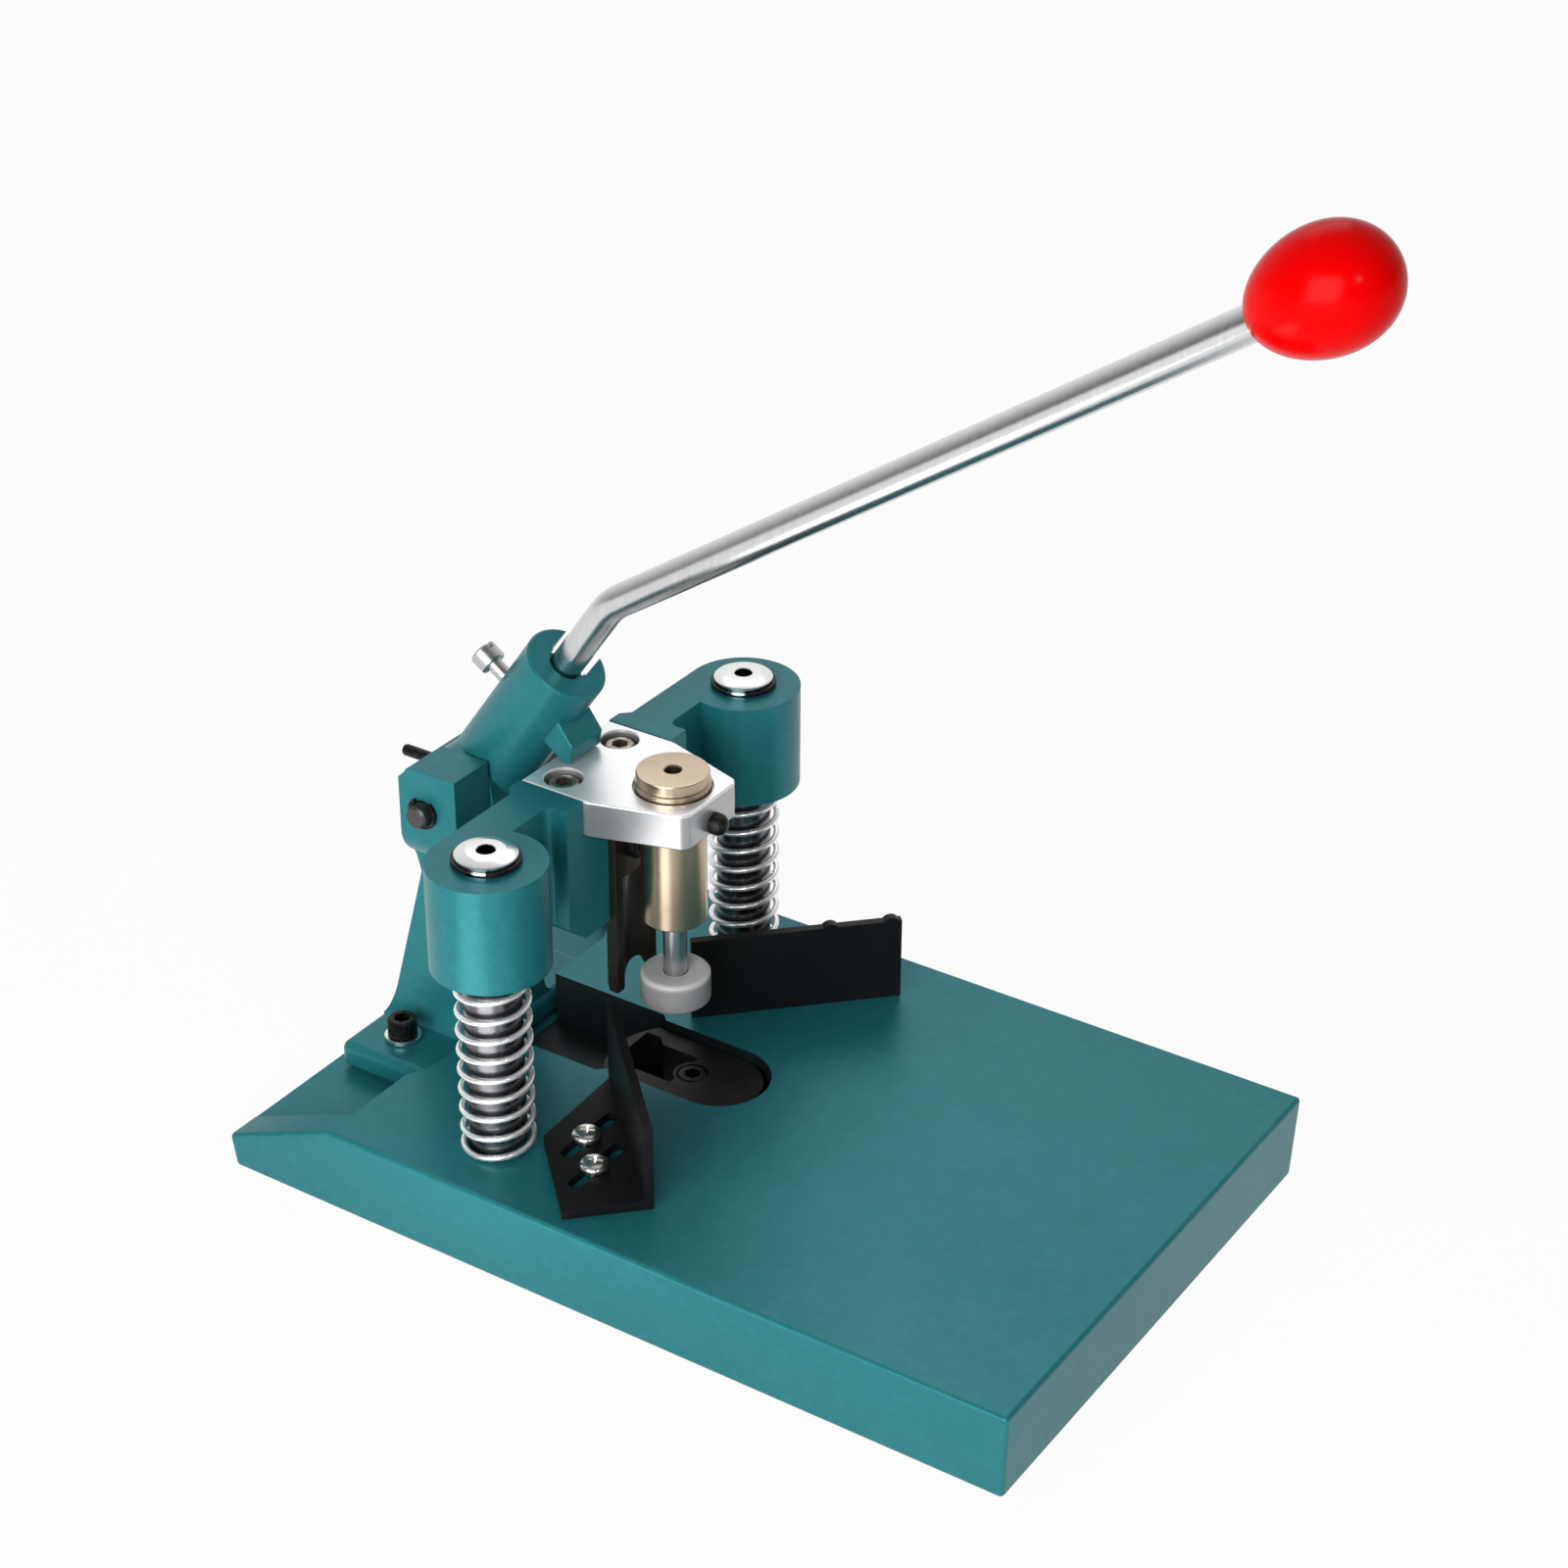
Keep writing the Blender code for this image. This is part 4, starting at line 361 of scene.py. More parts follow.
def milled_aluminium():
    """Bright plate with fine milling lines across it; its top face is painted pale as painted
    light and its side faces dark grey as painted shade.
    """
    f = Finish("milled_aluminium", metallic=0.72, specular_ior_level=0.3)
    lines = f.noise(1.0, 3.0, 0.55, f.spot((40.0, 2300.0, 300.0)))
    smear = f.noise(45.0, 4.0)
    high = f.part(f.spot(), 2)
    # Painted light and shade: the top face is painted near-white, the side faces below it dark
    # grey.
    top = f.blend(smear, (0.86, 0.87, 0.89), (0.98, 0.98, 0.99))
    flank = f.blend(smear, (0.34, 0.34, 0.35), (0.62, 0.62, 0.63))
    face = high.sum("GREATER_THAN", (CROSSHEAD_TOP - 0.8) * MM)
    f.set(base_color=f.blend(face, flank, top),
          roughness=0.24 + 0.14 * lines + 0.08 * smear)
    f.bump(lines, 0.000006, 0.4)
    return f


def turned_brass():
    """Lathe turned brass gone brown with handling."""
    f = Finish("turned_brass", metallic=1.0)
    rings = f.noise(1.0, 2.0, 0.5, f.spot((30.0, 30.0, 2400.0)))
    tarnish = f.noise(45.0, 4.0, 0.5)
    f.set(base_color=f.blend(f.ramp(tarnish, (0.35, 0.0), (0.75, 1.0)),
                             (0.53, 0.43, 0.315), (0.41, 0.325, 0.23)),
          roughness=0.24 + 0.08 * rings + 0.04 * tarnish)
    f.bump(rings, 0.000004, 0.4)
    return f


def grey_nylon():
    """A turned foot of milky plastic, with a painted highlight: its thin rim is painted paler."""
    f = Finish("grey_nylon", subsurface_weight=0.25, subsurface_scale=0.004, ior=1.46,
               transmission_weight=0.12)
    cloud = f.noise(160.0, 3.0)
    rings = f.noise(1.0, 2.0, 0.5, f.spot((30.0, 30.0, 1600.0)))
    high = f.part(f.spot(), 2)
    body = f.blend(cloud, (0.25, 0.25, 0.255), (0.33, 0.33, 0.335))
    # Painted highlight: the top rim is painted pale grey.
    painted_rim_light = f.ramp(high * 10.0, (0.636, 0.0), (0.652, 1.0))
    f.set(base_color=f.blend(painted_rim_light, body, (0.58, 0.58, 0.585)), roughness=0.30 + 0.14 * rings)
    f.bump(rings, 0.00001, 0.4)
    return f


def red_plastic():
    """Moulded, polished knob."""
    f = Finish("red_plastic", ior=1.5, specular_ior_level=0.05)
    cloud = f.noise(30.0, 3.0)
    f.set(base_color=f.blend(cloud, (0.64, 0.0, 0.0), (0.73, 0.0, 0.0005)),
          roughness=0.19 + 0.06 * cloud)
    f.bump(f.noise(70.0, 2.0), 0.00010, 0.15)
    return f


def bright_zinc():
    """Plated screws and washers."""
    f = Finish("bright_zinc", metallic=1.0)
    bloom = f.noise(500.0, 4.0, 0.6)
    f.set(base_color=f.blend(bloom, (0.82, 0.82, 0.80), (0.60, 0.59, 0.55)),
          roughness=0.16 + 0.2 * bloom)
    f.bump(f.noise(1500.0, 2.0), 0.00002, 0.4)
    return f


def die_steel():
    """Dark hardened die, surface ground."""
    f = Finish("die_steel", metallic=0.6, specular_ior_level=0.2)
    lines = f.noise(1.0, 3.0, 0.5, f.spot((1500.0, 50.0, 300.0)))
    stain = f.noise(120.0, 4.0)
    f.set(base_color=f.blend(stain, (0.014, 0.013, 0.013), (0.032, 0.031, 0.031)),
          roughness=0.34 + 0.18 * lines)
    f.bump(lines, 0.00003, 0.4)
    return f


# Modelling words
def deselect():
    bpy.ops.object.select_all(action="DESELECT")


def shape_all():
    bpy.ops.object.mode_set(mode="EDIT")
    bpy.ops.mesh.select_all(action="SELECT")


def leave():
    bpy.ops.object.mode_set(mode="OBJECT")


def pick(obj):
    deselect()
    obj.select_set(True)
    bpy.context.view_layer.objects.active = obj


def face_out():
    """Turns the normals of the mesh in edit mode outward, and leaves that mode."""
    bpy.ops.mesh.select_all(action="SELECT")
    bpy.ops.mesh.normals_make_consistent(inside=False)
    leave()


def settle(obj, matrix):
    """Puts a piece's place into its mesh."""
    obj.data.transform(matrix)
    obj.data.update()
    return obj


def solid(name, points, low, high, plane="XY"):
    """An outline in millimetres, filled and pulled from low to high."""
    spot, pull = {"XY": (lambda u, v: (u, v, low), (0, 0, 1)),
                  "XZ": (lambda u, v: (u, low, v), (0, 1, 0)),
                  "YZ": (lambda u, v: (low, u, v), (1, 0, 0))}[plane]
    deselect()
    bpy.ops.mesh.primitive_circle_add(vertices=len(points), fill_type="NGON")
    obj = bpy.context.object
    obj.name = name
    for vert, (u, v) in zip(obj.data.vertices, points):
        vert.co = Vector(spot(u, v)) * MM
    shape_all()
    move = {"value": Vector(pull) * (high - low) * MM, "orient_type": "GLOBAL"}
    bpy.ops.mesh.extrude_region_move(TRANSFORM_OT_translate=move)
    face_out()
    return obj


def turned(name, profile, place=None, steps=64):
    """A closed half section (radius, height) in millimetres, spun about Z."""
    deselect()
    bpy.ops.mesh.primitive_circle_add(vertices=len(profile), fill_type="NOTHING")
    obj = bpy.context.object
    obj.name = name
    for vert, (radius, height) in zip(obj.data.vertices, profile):
        vert.co = Vector((radius, 0.0, height)) * MM
    shape_all()
    bpy.ops.mesh.spin(steps=steps, angle=2.0 * pi, center=(0, 0, 0), axis=(0, 0, 1))
    bpy.ops.mesh.select_all(action="SELECT")
    bpy.ops.mesh.remove_doubles(threshold=0.000002)
    bpy.ops.mesh.delete_loose()
    face_out()
    return settle(obj, place) if place is not None else obj


def thread(name, points, radius, roundness):
    """A round wire in millimetres through these points, with flat ends."""
    curve = bpy.data.curves.new(name, "CURVE")
    curve.dimensions = "3D"
    curve.bevel_depth = radius * MM
    curve.bevel_resolution = roundness
    curve.use_fill_caps = True
    spline = curve.splines.new("POLY")
    spline.points.add(len(points) - 1)
    for spot, point in zip(spline.points, points):
        spot.co = (*(Vector(point) * MM), 1.0)
    obj = bpy.data.objects.new(name, curve)
    bpy.context.scene.collection.objects.link(obj)
    pick(obj)
    bpy.ops.object.convert(target="MESH")
    return bpy.context.object


def apply(obj, mod):
    pick(obj)
    bpy.ops.object.modifier_apply(modifier=mod.name)


def work(obj, other, operation):
    mod = obj.modifiers.new("shape", "BOOLEAN")
    mod.operation = operation
    mod.solver = "EXACT"
    mod.object = other
    apply(obj, mod)
    bpy.data.objects.remove(other, do_unlink=True)


def cut(obj, *others):
    for other in others:
        work(obj, other, "DIFFERENCE")


def join(obj, other):
    work(obj, other, "UNION")


def drill(obj, radius, low, high, place, steps=24):
    """A round hole along Z of its place."""
    cut(obj, turned("drill", disc(radius, low, high), place, steps))


def soften(obj, width, segments=3, angle=32.0):
    mod = obj.modifiers.new("edges", "BEVEL")
    mod.width = width * MM
    mod.segments = segments
    mod.limit_method = "ANGLE"
    mod.angle_limit = radians(angle)
    mod.miter_outer = "MITER_ARC"
    mod.use_clamp_overlap = True
    apply(obj, mod)


def smooth(obj, angle, weighted):
    pick(obj)
    bpy.ops.object.shade_smooth_by_angle(angle=radians(angle))
    if weighted:
        mod = obj.modifiers.new("normals", "WEIGHTED_NORMAL")
        mod.keep_sharp = True
        apply(obj, mod)


def hand_over(obj, finish, body, node, angle=38.0, weighted=True):
    """Shades a finished piece and puts it in the place of its solid."""
    smooth(obj, angle, weighted)
    obj.data.materials.clear()
    obj.data.materials.append(finish.material)
    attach(obj, body)
    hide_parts(node)


def arc(u, v, radius, start, end, steps):
    turns = [radians(start + (end - start) * i / steps) for i in range(steps + 1)]
    return [(u + radius * cos(a), v + radius * sin(a)) for a in turns]


def box(u_low, v_low, u_high, v_high):
    return [(u_low, v_low), (u_high, v_low), (u_high, v_high), (u_low, v_high)]


def both(points):
    """An outline from its right half, which runs from one end to the other."""
    return points + [(-u, v) for u, v in reversed(points)]


def flip(points):
    return [(-u, v) for u, v in points]


def at(x, y, z):
    return Matrix.Translation(Vector((x, y, z)) * MM)


def facing(origin, direction):
    turn = Vector(direction).normalized().to_track_quat("Z", "Y").to_matrix().to_4x4()
    return Matrix.Translation(Vector(origin) * MM) @ turn


def disc(radius, low, high):
    return [(0.0, low), (radius, low), (radius, high), (0.0, high)]


# Base: table, slot, rear seat and the hollow underneath
def make_base(enamel, iron):
    side = [(-BASE_REACH, 0.0), (BASE_REACH, 0.0), (BASE_REACH, 12.5), (103.0, TABLE),
            (-BASE_REACH, TABLE)]
    base = solid("base_table", side, -BASE_HALF_WIDTH, BASE_HALF_WIDTH, "YZ")
    for vert in base.data.vertices:
        if vert.co.z <= 0.0:
            vert.co.x -= MM if vert.co.x > 0.0 else -MM
            vert.co.y -= MM if vert.co.y > 0.0 else -MM
    soften(base, 1.5, 4)
    for y_low, y_high, inner in ((-139.0, -7.0, 5.0), (5.0, 92.0, 26.5)):
        for sign in (-1.0, 1.0):
            x_low, x_high = sorted((sign * inner, sign * 88.0))
            pocket = solid("pocket", box(x_low, y_low, x_high, y_high), -2.0, 22.5)
            soften(pocket, 3.0, 3)
            cut(base, pocket)
    for sign in (-1.0, 1.0):
        join(base, turned("boss", disc(15.0, 0.0, 26.5), at(sign * POST_X, POST_Y, 0.0), 48))
    seat = both([(83.0, 148.0), (83.0, 102.4), (56.0, 102.4), (48.0, 98.4)])
    cut(base, solid("seat", seat, 11.9, 34.0))
    slot = [(19.5, 103.0), (19.5, 52.8), (17.0, 50.3)] + arc(0.0, 17.0, 17.0, 0.0, -88.0, 22)
    cut(base, solid("slot", both(slot), 12.0, 34.0))
    for sign in (-1.0, 1.0):
        hole = [(0.0, 34.0), (9.5, 34.0), (9.5, 8.5), (3.3, 8.5), (3.3, 6.3), (5.3, 6.3),
                (5.3, -2.0), (0.0, -2.0)]
        cut(base, turned("hole", hole, at(sign * POST_X, POST_Y, 0.0), 48))
        drill(base, 3.3, 3.6, 14.0, at(sign * BRACKET_SCREW_X, BRACKET_SCREW_Y, 0.0))
        for x, y in fence_screw_places():
            drill(base, 2.3, 20.5, 34.0, at(-sign * x, y, 0.0), 20)
    drill(base, 3.3, 4.0, 14.0, at(0.0, DIE_SCREW_Y, 0.0))
    cut(base, solid("waste", both([(7.8, 54.0), (7.8, 41.4), (3.9, 37.5)]), -2.0, 14.0))
    soften(base, 0.5, 2, 50.0)
    hand_over(base, enamel, "frame", "base_casting", angle=30.0)
    # Painted shade: the slot's faces are painted near-black.
    paint_slot_shade(base, iron)


def paint_slot_shade(base, iron):
    """The slot's faces take the near-black finish, as painted shade inside the slot."""
    base.data.materials.append(iron.material)
    for face in base.data.polygons:
        x, y, z = face.center / MM
        if abs(x) < 19.6 and -1.0 < y < 103.0 and 11.0 < z < 30.0:
            face.material_index = 1


def fence_screw_places():
    """The left fence's two screws. The right fence's mirror them."""
    inset = FENCE_SCREW_INSET * sqrt(0.5)
    spots = []
    for share in FENCE_SCREW_SHARES:
        run = FENCE_LENGTH * share * sqrt(0.5)
        spots.append((FENCE_X - run - inset, FENCE_Y - run + inset))
    return spots


# Posts with their heads, rings and springs
def make_posts(chrome, wire, black):
    body = [(0.0, 9.0), (8.4, 9.0), (9.2, 9.8), (9.2, POST_SHOULDER), (8.5, POST_SHOULDER),
            (8.5, 136.0), (9.5, 136.0), (9.8, 136.3), (9.8, 136.9), (9.4, 137.25), (6.6, 138.05),
            (6.0, 138.2), (3.2, 138.2), (2.8, 137.8), (2.8, 133.6), (0.0, 132.2)]
    ring = arc(0.0, 0.0, 10.9, 217.0, 543.0, 46) + arc(0.0, 0.0, 8.8, 543.0, 217.0, 46)
    for sign, word in SIDES:
        place = at(sign * POST_X, POST_Y, 0.0)
        post = turned("post_" + word, body, place, 72)
        hand_over(post, chrome, "frame", "guide_post_" + word)
        clip = settle(solid("ring_" + word, ring, 134.45, 135.85), place)
        soften(clip, 0.25, 2, 50.0)
        hand_over(clip, black, "frame", "retaining_ring_" + word)
        coil = make_coil("coil_" + word, 11.2, 2.0, RETURN_COIL_LOW, RETURN_COIL_LENGTH, 9, place)
        hand_over(coil, wire, "frame", "return_spring_" + word,
                  angle=60.0, weighted=False)
        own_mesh(coil)


def make_coil(name, radius, gauge, low, length, turns, place):
    """An open coil whose first and last half turns lie flat on their seats."""
    steps = 28
    half = gauge / 2.0
    total = turns + 1
    rise = length - gauge
    points = []
    for i in range(total * steps + 1):
        turn = i / steps
        share = min(max((turn - 0.5) / turns, 0.0), 1.0)
        a = 2.0 * pi * turn
        points.append((radius * cos(a), radius * sin(a), low + half + rise * share))
    return settle(thread(name, points, half, 4), place)


# Screws
def socket_screw(name, head, height, shank, length, hexagon, place, chamfer=0.5):
    """A cap screw. Its head stands on the place and its shank goes down."""
    profile = [(0.0, -length), (shank - 0.3, -length), (shank, 0.4 - length), (shank, 0.0),
               (head - 0.15, 0.0), (head, 0.15), (head, height - chamfer),
               (head - chamfer, height - 0.05), (head - chamfer - 0.3, height), (0.0, height)]
    screw = turned(name, profile, None, 48)
    deselect()
    bpy.ops.mesh.primitive_circle_add(vertices=6, radius=hexagon * MM, fill_type="NGON",
                                      location=(0.0, 0.0, height * 0.42 * MM))
    key = bpy.context.object
    shape_all()
    move = {"value": (0.0, 0.0, height * MM)}
    bpy.ops.mesh.extrude_region_move(TRANSFORM_OT_translate=move)
    face_out()
    pick(key)
    bpy.ops.object.transform_apply(location=True, rotation=False, scale=False)
    cut(screw, key)
    return settle(screw, place)


def m6_screw(name, length, place, chamfer=0.5):
    return socket_screw(name, 5.0, 6.0, 3.0, length, 2.9, place, chamfer)


def cross_screw(name, place):
    """A pan head with a cross recess."""
    profile = [(0.0, -5.5), (2.0, -5.5), (2.0, 0.0), (4.6, 0.0), (4.8, 0.25), (4.8, 1.0),
               (4.6, 1.55), (4.1, 2.05), (3.2, 2.4), (1.8, 2.55), (0.0, 2.6)]
    screw = turned(name, profile, None, 40)
    for angle in (0.0, 90.0):
        arm = solid("arm", [(-0.36, 0.7), (0.36, 0.7), (0.72, 3.0), (-0.72, 3.0)], -3.0, 3.0, "XZ")
        for vert in arm.data.vertices:
            if vert.co.z < 0.001:
                vert.co.y *= 0.35
        cut(screw, settle(arm, Matrix.Rotation(radians(angle + 27.0), 4, "Z")))
    return settle(screw, place)


# Die in the slot
def make_die(steel, black):
    side = degrees(acos(15.8 / 24.0))
    outline = arc(0.0, 34.2, 24.0, 89.0, side, 12) + arc(0.0, 18.8, 15.8, 0.0, -89.0, 24)
    die = solid("die", both(outline), 12.3, 27.5)
    opening = [(11.4, 54.0), (11.4, 48.6), (8.2, 45.4), (8.2, 31.0)]
    opening += arc(0.0, 27.8, 6.4, 30.0, 88.0, 9)
    cut(die, solid("opening", both(opening), 10.0, 30.0))
    seat = [(0.0, 30.0), (5.3, 30.0), (5.3, 21.2), (3.3, 21.2), (3.3, 10.0), (0.0, 10.0)]
    cut(die, turned("seat", seat, at(0.0, DIE_SCREW_Y, 0.0), 48))
    soften(die, 0.35, 2, 50.0)
    hand_over(die, steel, "frame", "die_block")
    screw = m6_screw("die_bolt", 15.2, at(0.0, DIE_SCREW_Y, 21.5))
    hand_over(screw, black, "frame", "die_screw")


# Fences: bent angle plates with slotted flanges
def make_fences(black, zinc):
    corner = sqrt(0.5)
    plan = Matrix(((-corner, -corner, 0.0), (-corner, corner, 0.0), (0.0, 0.0, 1.0)))
    run = at(FENCE_X, FENCE_Y, FENCE_Z) @ plan.transposed().to_4x4()
    for (sign, word), offset in zip(SIDES, (0.0, 3.0)):
        wall = [(0.0, 0.0), (FENCE_LENGTH, 0.0), (FENCE_LENGTH, FENCE_HEIGHT)]
        if sign > 0.0:
            half = degrees(atan2(1.9, sqrt(3.2 ** 2 - 1.9 ** 2)))
            for share in (0.95, 0.66):
                wall += arc(FENCE_LENGTH * share, 27.9, 3.2, half, 180.0 - half, 14)
        wall.append((0.0, FENCE_HEIGHT))
        fence = solid("fence_plate_" + word, wall, 0.0, 3.0, "XZ")
        flange = [(1.5, 1.5), (71.45, 1.5), (71.45, 28.6), (31.3, 28.6)]
        join(fence, solid("flange", flange, 0.0, 3.0))
        settle(fence, run)
        for x, y in fence_screw_places():
            ends = arc(x + 13.0, y, 2.4, -90.0, 90.0, 14) + arc(x - 9.7, y, 2.4, 90.0, 270.0, 14)
            cut(fence, solid("slot", ends, 28.0, 36.0))
        settle(fence, at(offset, 0.0, 0.0) @ Matrix.Diagonal((-sign, 1.0, 1.0, 1.0)))
        deselect()
        bpy.context.view_layer.objects.active = fence
        shape_all()
        face_out()
        soften(fence, 0.5, 3, 50.0)
        hand_over(fence, black, "fence_" + word, "fence_" + word)
        for index, (x, y) in enumerate(fence_screw_places()):
            place = at(-sign * x, y, 34.1)
            screw = cross_screw("fence_bolt_%s_%d" % (word, index + 1), place)
            hand_over(screw, zinc, "frame",
                      "fence_screw_%s_%d" % (word, index + 1))


# Rear bracket with its yoke, bolts and pin
def make_bracket(enamel, black, zinc, dark):
    side = [(102.0, 17.2), (140.5, 17.2), (140.5, 22.2), (124.3, 81.0), (125.95, 87.05),
            (129.0, 92.0), (129.0, 118.0), (119.0, 118.0), (119.0, 125.5), (114.5, 130.0),
            (96.0, 130.0), (96.0, 106.0), (98.0, 100.0), (102.0, 22.2)]
    bracket = solid("yoke_bracket", side, -32.0, 32.0, "YZ")
    shoulder = [radians(a) for a in range(6, 91, 7)]
    ankle = [radians(a) for a in range(0, 91, 15)]
    flank = [(34.0, 106.0), (32.0, 106.0)]
    flank += [(17.0 + 15.0 * cos(a), 106.0 - 13.0 * sin(a)) for a in shoulder]
    flank += [(17.0 + 5.0 * (1.0 - cos(a)), 32.0 - 9.8 * sin(a)) for a in ankle]
    flank += [(22.0, 8.0), (34.0, 8.0)]
    cut(bracket, solid("flank", flank, 94.0, 143.0, "XZ"),
        solid("flank", flip(flank), 94.0, 143.0, "XZ"))
    for low, high in ((-34.0, -17.0), (17.0, 34.0)):
        cut(bracket, solid("behind", box(low, 119.0, high, 143.0), 91.0, 133.0))
    cut(bracket, solid("gap", box(-14.6, 101.0, 14.6, 134.0), 94.0, 123.5, "XZ"))
    soften(bracket, 1.1, 3, 28.0)
    foot = solid("foot", box(-44.0, 12.2, 44.0, 22.2), 100.5, 141.5, "XZ")
    soften(foot, 3.2, 5)
    join(bracket, foot)
    across = facing(PIVOT, (1.0, 0.0, 0.0))
    drill(bracket, 4.3, -34.0, 34.0, across, 40)
    for sign in (-1.0, 1.0):
        place = at(sign * BRACKET_SCREW_X, BRACKET_SCREW_Y, 0.0)
        drill(bracket, 3.3, 10.0, 26.0, place, 32)
    drill(bracket, 2.3, 12.5, 24.0, facing(STOP_PLACE, (0.0, 1.0, 0.0)), 32)
    hand_over(bracket, enamel, "frame", "rear_bracket", angle=32.0)
    band = [(3.3, 22.5), (6.0, 22.5), (6.2, 22.7), (6.2, 23.9), (6.0, 24.1), (3.4, 24.1),
            (3.3, 24.0)]
    clip = arc(0.0, 0.0, 5.5, 35.0, 325.0, 40) + arc(0.0, 0.0, 4.15, 325.0, 35.0, 40)
    for (sign, word), low in zip(SIDES, (-33.5, 32.3)):
        place = at(sign * BRACKET_SCREW_X, BRACKET_SCREW_Y, 0.0)
        washer = turned("washer_" + word, band, place, 48)
        hand_over(washer, zinc, "frame", "bracket_washer_" + word)
        place = at(sign * BRACKET_SCREW_X, BRACKET_SCREW_Y, 24.4)
        bolt = m6_screw("bolt_" + word, 20.0, place)
        hand_over(bolt, black, "frame", "bracket_bolt_" + word)
        ring = settle(solid("clip_" + word, clip, low, low + 1.2),
                      across @ Matrix.Rotation(radians(90.0), 4, "Z"))
        soften(ring, 0.2, 2, 50.0)
        hand_over(ring, black, "frame", "pin_clip_" + word)
    pin = [(0.0, -36.8), (3.3, -36.8), (4.0, -36.1), (4.0, 36.1), (3.3, 36.8), (0.0, 36.8)]
    pin = turned("pin", pin, across, 48)
    hand_over(pin, dark, "frame", "pivot_pin")
    rod = [(0.0, 14.3), (1.6, 14.3), (2.0, 14.7), (2.0, 33.2), (1.7, 33.8), (0.0, 34.0)]
    stop = turned("stop", rod, facing(STOP_PLACE, (0.0, 1.0, 0.0)), 32)
    hand_over(stop, black, "frame", "stop_screw")


# Crosshead: bushings, arms, boss, plate and knife
def make_crosshead(enamel):
    meet = degrees(atan2(4.5, -sqrt(19.0 ** 2 - 4.5 ** 2)))
    plan = [(29.3, 76.0), (32.3, 73.0)] + arc(POST_X, POST_Y, 19.0, 90.0, meet - 360.0, 60)
    plan += arc(35.8, 55.0, 3.5, 90.0, 180.0, 8) + [(32.3, 51.5)]
    head = solid("crosshead_body", both(plan), 84.0, CROSSHEAD_TOP)
    under = [(24.0, 82.0), (24.0, 84.0), (32.3, 91.0), (48.25, 105.0), (48.25, 98.0),
             (90.0, 98.0), (90.0, 82.0)]
    cut(head, solid("under", under, 33.0, 78.0, "XZ"),
        solid("under", flip(under), 33.0, 78.0, "XZ"))
    cut(head, solid("notch", box(-23.8, 121.2, 23.8, 136.0), 33.0, 78.0, "XZ"))
    soften(head, 0.9, 3, 40.0)
    cut(head, solid("seat", box(-11.1, 82.0, 11.1, PLATE_LOW), 49.5, 53.7, "XZ"))
    for sign in (-1.0, 1.0):
        bore = [(0.0, 95.0), (10.1, 95.0), (9.52, 98.6), (9.52, 133.4), (10.1, CROSSHEAD_TOP),
                (10.1, 136.0), (0.0, 136.0)]
        cut(head, turned("bore", bore, at(sign * POST_X, POST_Y, 0.0), 72))
        drill(head, 3.3, 108.8, 123.0, at(sign * PLATE_SCREW_X, PLATE_SCREW_Y, 0.0))
    drill(head, 2.8, -2.0, 14.2, facing((0.0, 51.5, BLADE_SCREW_Z), (0.0, 1.0, 0.0)))
    hand_over(head, enamel, "crosshead", "crosshead_casting", angle=32.0)


def make_plate(aluminium, rubbed, black):
    plan = both([(23.5, 75.7), (23.5, 50.0), (14.5, 20.65), (12.2, 19.0)])
    plate = solid("plate", plan, PLATE_LOW, CROSSHEAD_TOP)
    soften(plate, 0.7, 3, 30.0)
    hole = [(0.0, 136.0), (12.9, 136.0), (12.9, 132.5), (10.9, 132.5), (10.9, 120.0),
            (0.0, 120.0)]
    cut(plate, turned("bore", hole, at(0.0, PRESSER_Y, 0.0), 64))
    sink = [(0.0, 136.0), (6.9, 136.0), (6.6, 133.95), (6.3, 133.65), (6.3, 126.2),
            (3.3, 126.2), (3.3, 120.0), (0.0, 120.0)]
    for sign in (-1.0, 1.0):
        cut(plate, turned("bore", sink, at(sign * PLATE_SCREW_X, PLATE_SCREW_Y, 0.0), 48))
    place = facing((0.0, PRESSER_Y, CLAMP_SCREW_Z), (0.0, -1.0, 0.0))
    drill(plate, 2.3, 0.0, 18.0, place)
    hand_over(plate, aluminium, "crosshead", "top_plate", angle=32.0)
    for sign, word in SIDES:
        place = at(sign * PLATE_SCREW_X, PLATE_SCREW_Y, 126.5)
        bolt = m6_screw("plate_bolt_" + word, 17.0, place, 0.6)
        hand_over(bolt, rubbed, "crosshead", "plate_screw_" + word)
    dome = ([(0.0, -4.4), (1.7, -4.4), (2.0, -4.0), (2.0, 0.0), (3.3, 0.0), (3.6, 0.3)]
            + arc(0.0, 1.6, 3.6, 0.0, 84.0, 12) + [(0.0, 5.2)])
    place = facing((0.0, 18.7, CLAMP_SCREW_Z), (0.0, -1.0, 0.0))
    clamp = turned("clamp_bolt", dome, place, 48)
    hand_over(clamp, black, "crosshead", "sleeve_clamp_screw")


def make_blade(knife, black):
    front = (0.0, -1.0, 0.0)
    blade = solid("knife", box(-10.8, 56.5, 10.8, 120.8), 49.2, 53.4, "XZ")
    soften(blade, 0.3, 2, 50.0)
    drill(blade, 12.7, 54.0, 98.5, at(0.0, 38.7, 0.0), 128)
    drill(blade, 8.0, -2.0, 7.0, facing((0.6, 53.4, 55.9), front), 96)
    bevel = [(55.4, 54.0), (55.4, 59.7), (53.4, 59.7), (51.6, 54.0)]
    cut(blade, solid("bevel", bevel, -13.0, 13.0, "YZ"))
    drill(blade, 2.8, -2.0, 7.0, facing((0.0, 53.4, BLADE_SCREW_Z), front))
    hand_over(blade, knife, "crosshead", "blade", angle=30.0)
    place = facing((0.0, 48.9, BLADE_SCREW_Z), front)
    button = socket_screw("knife_bolt", 4.5, 2.2, 2.5, 16.2, 1.7, place, 0.7)
    hand_over(button, black, "crosshead", "blade_screw")


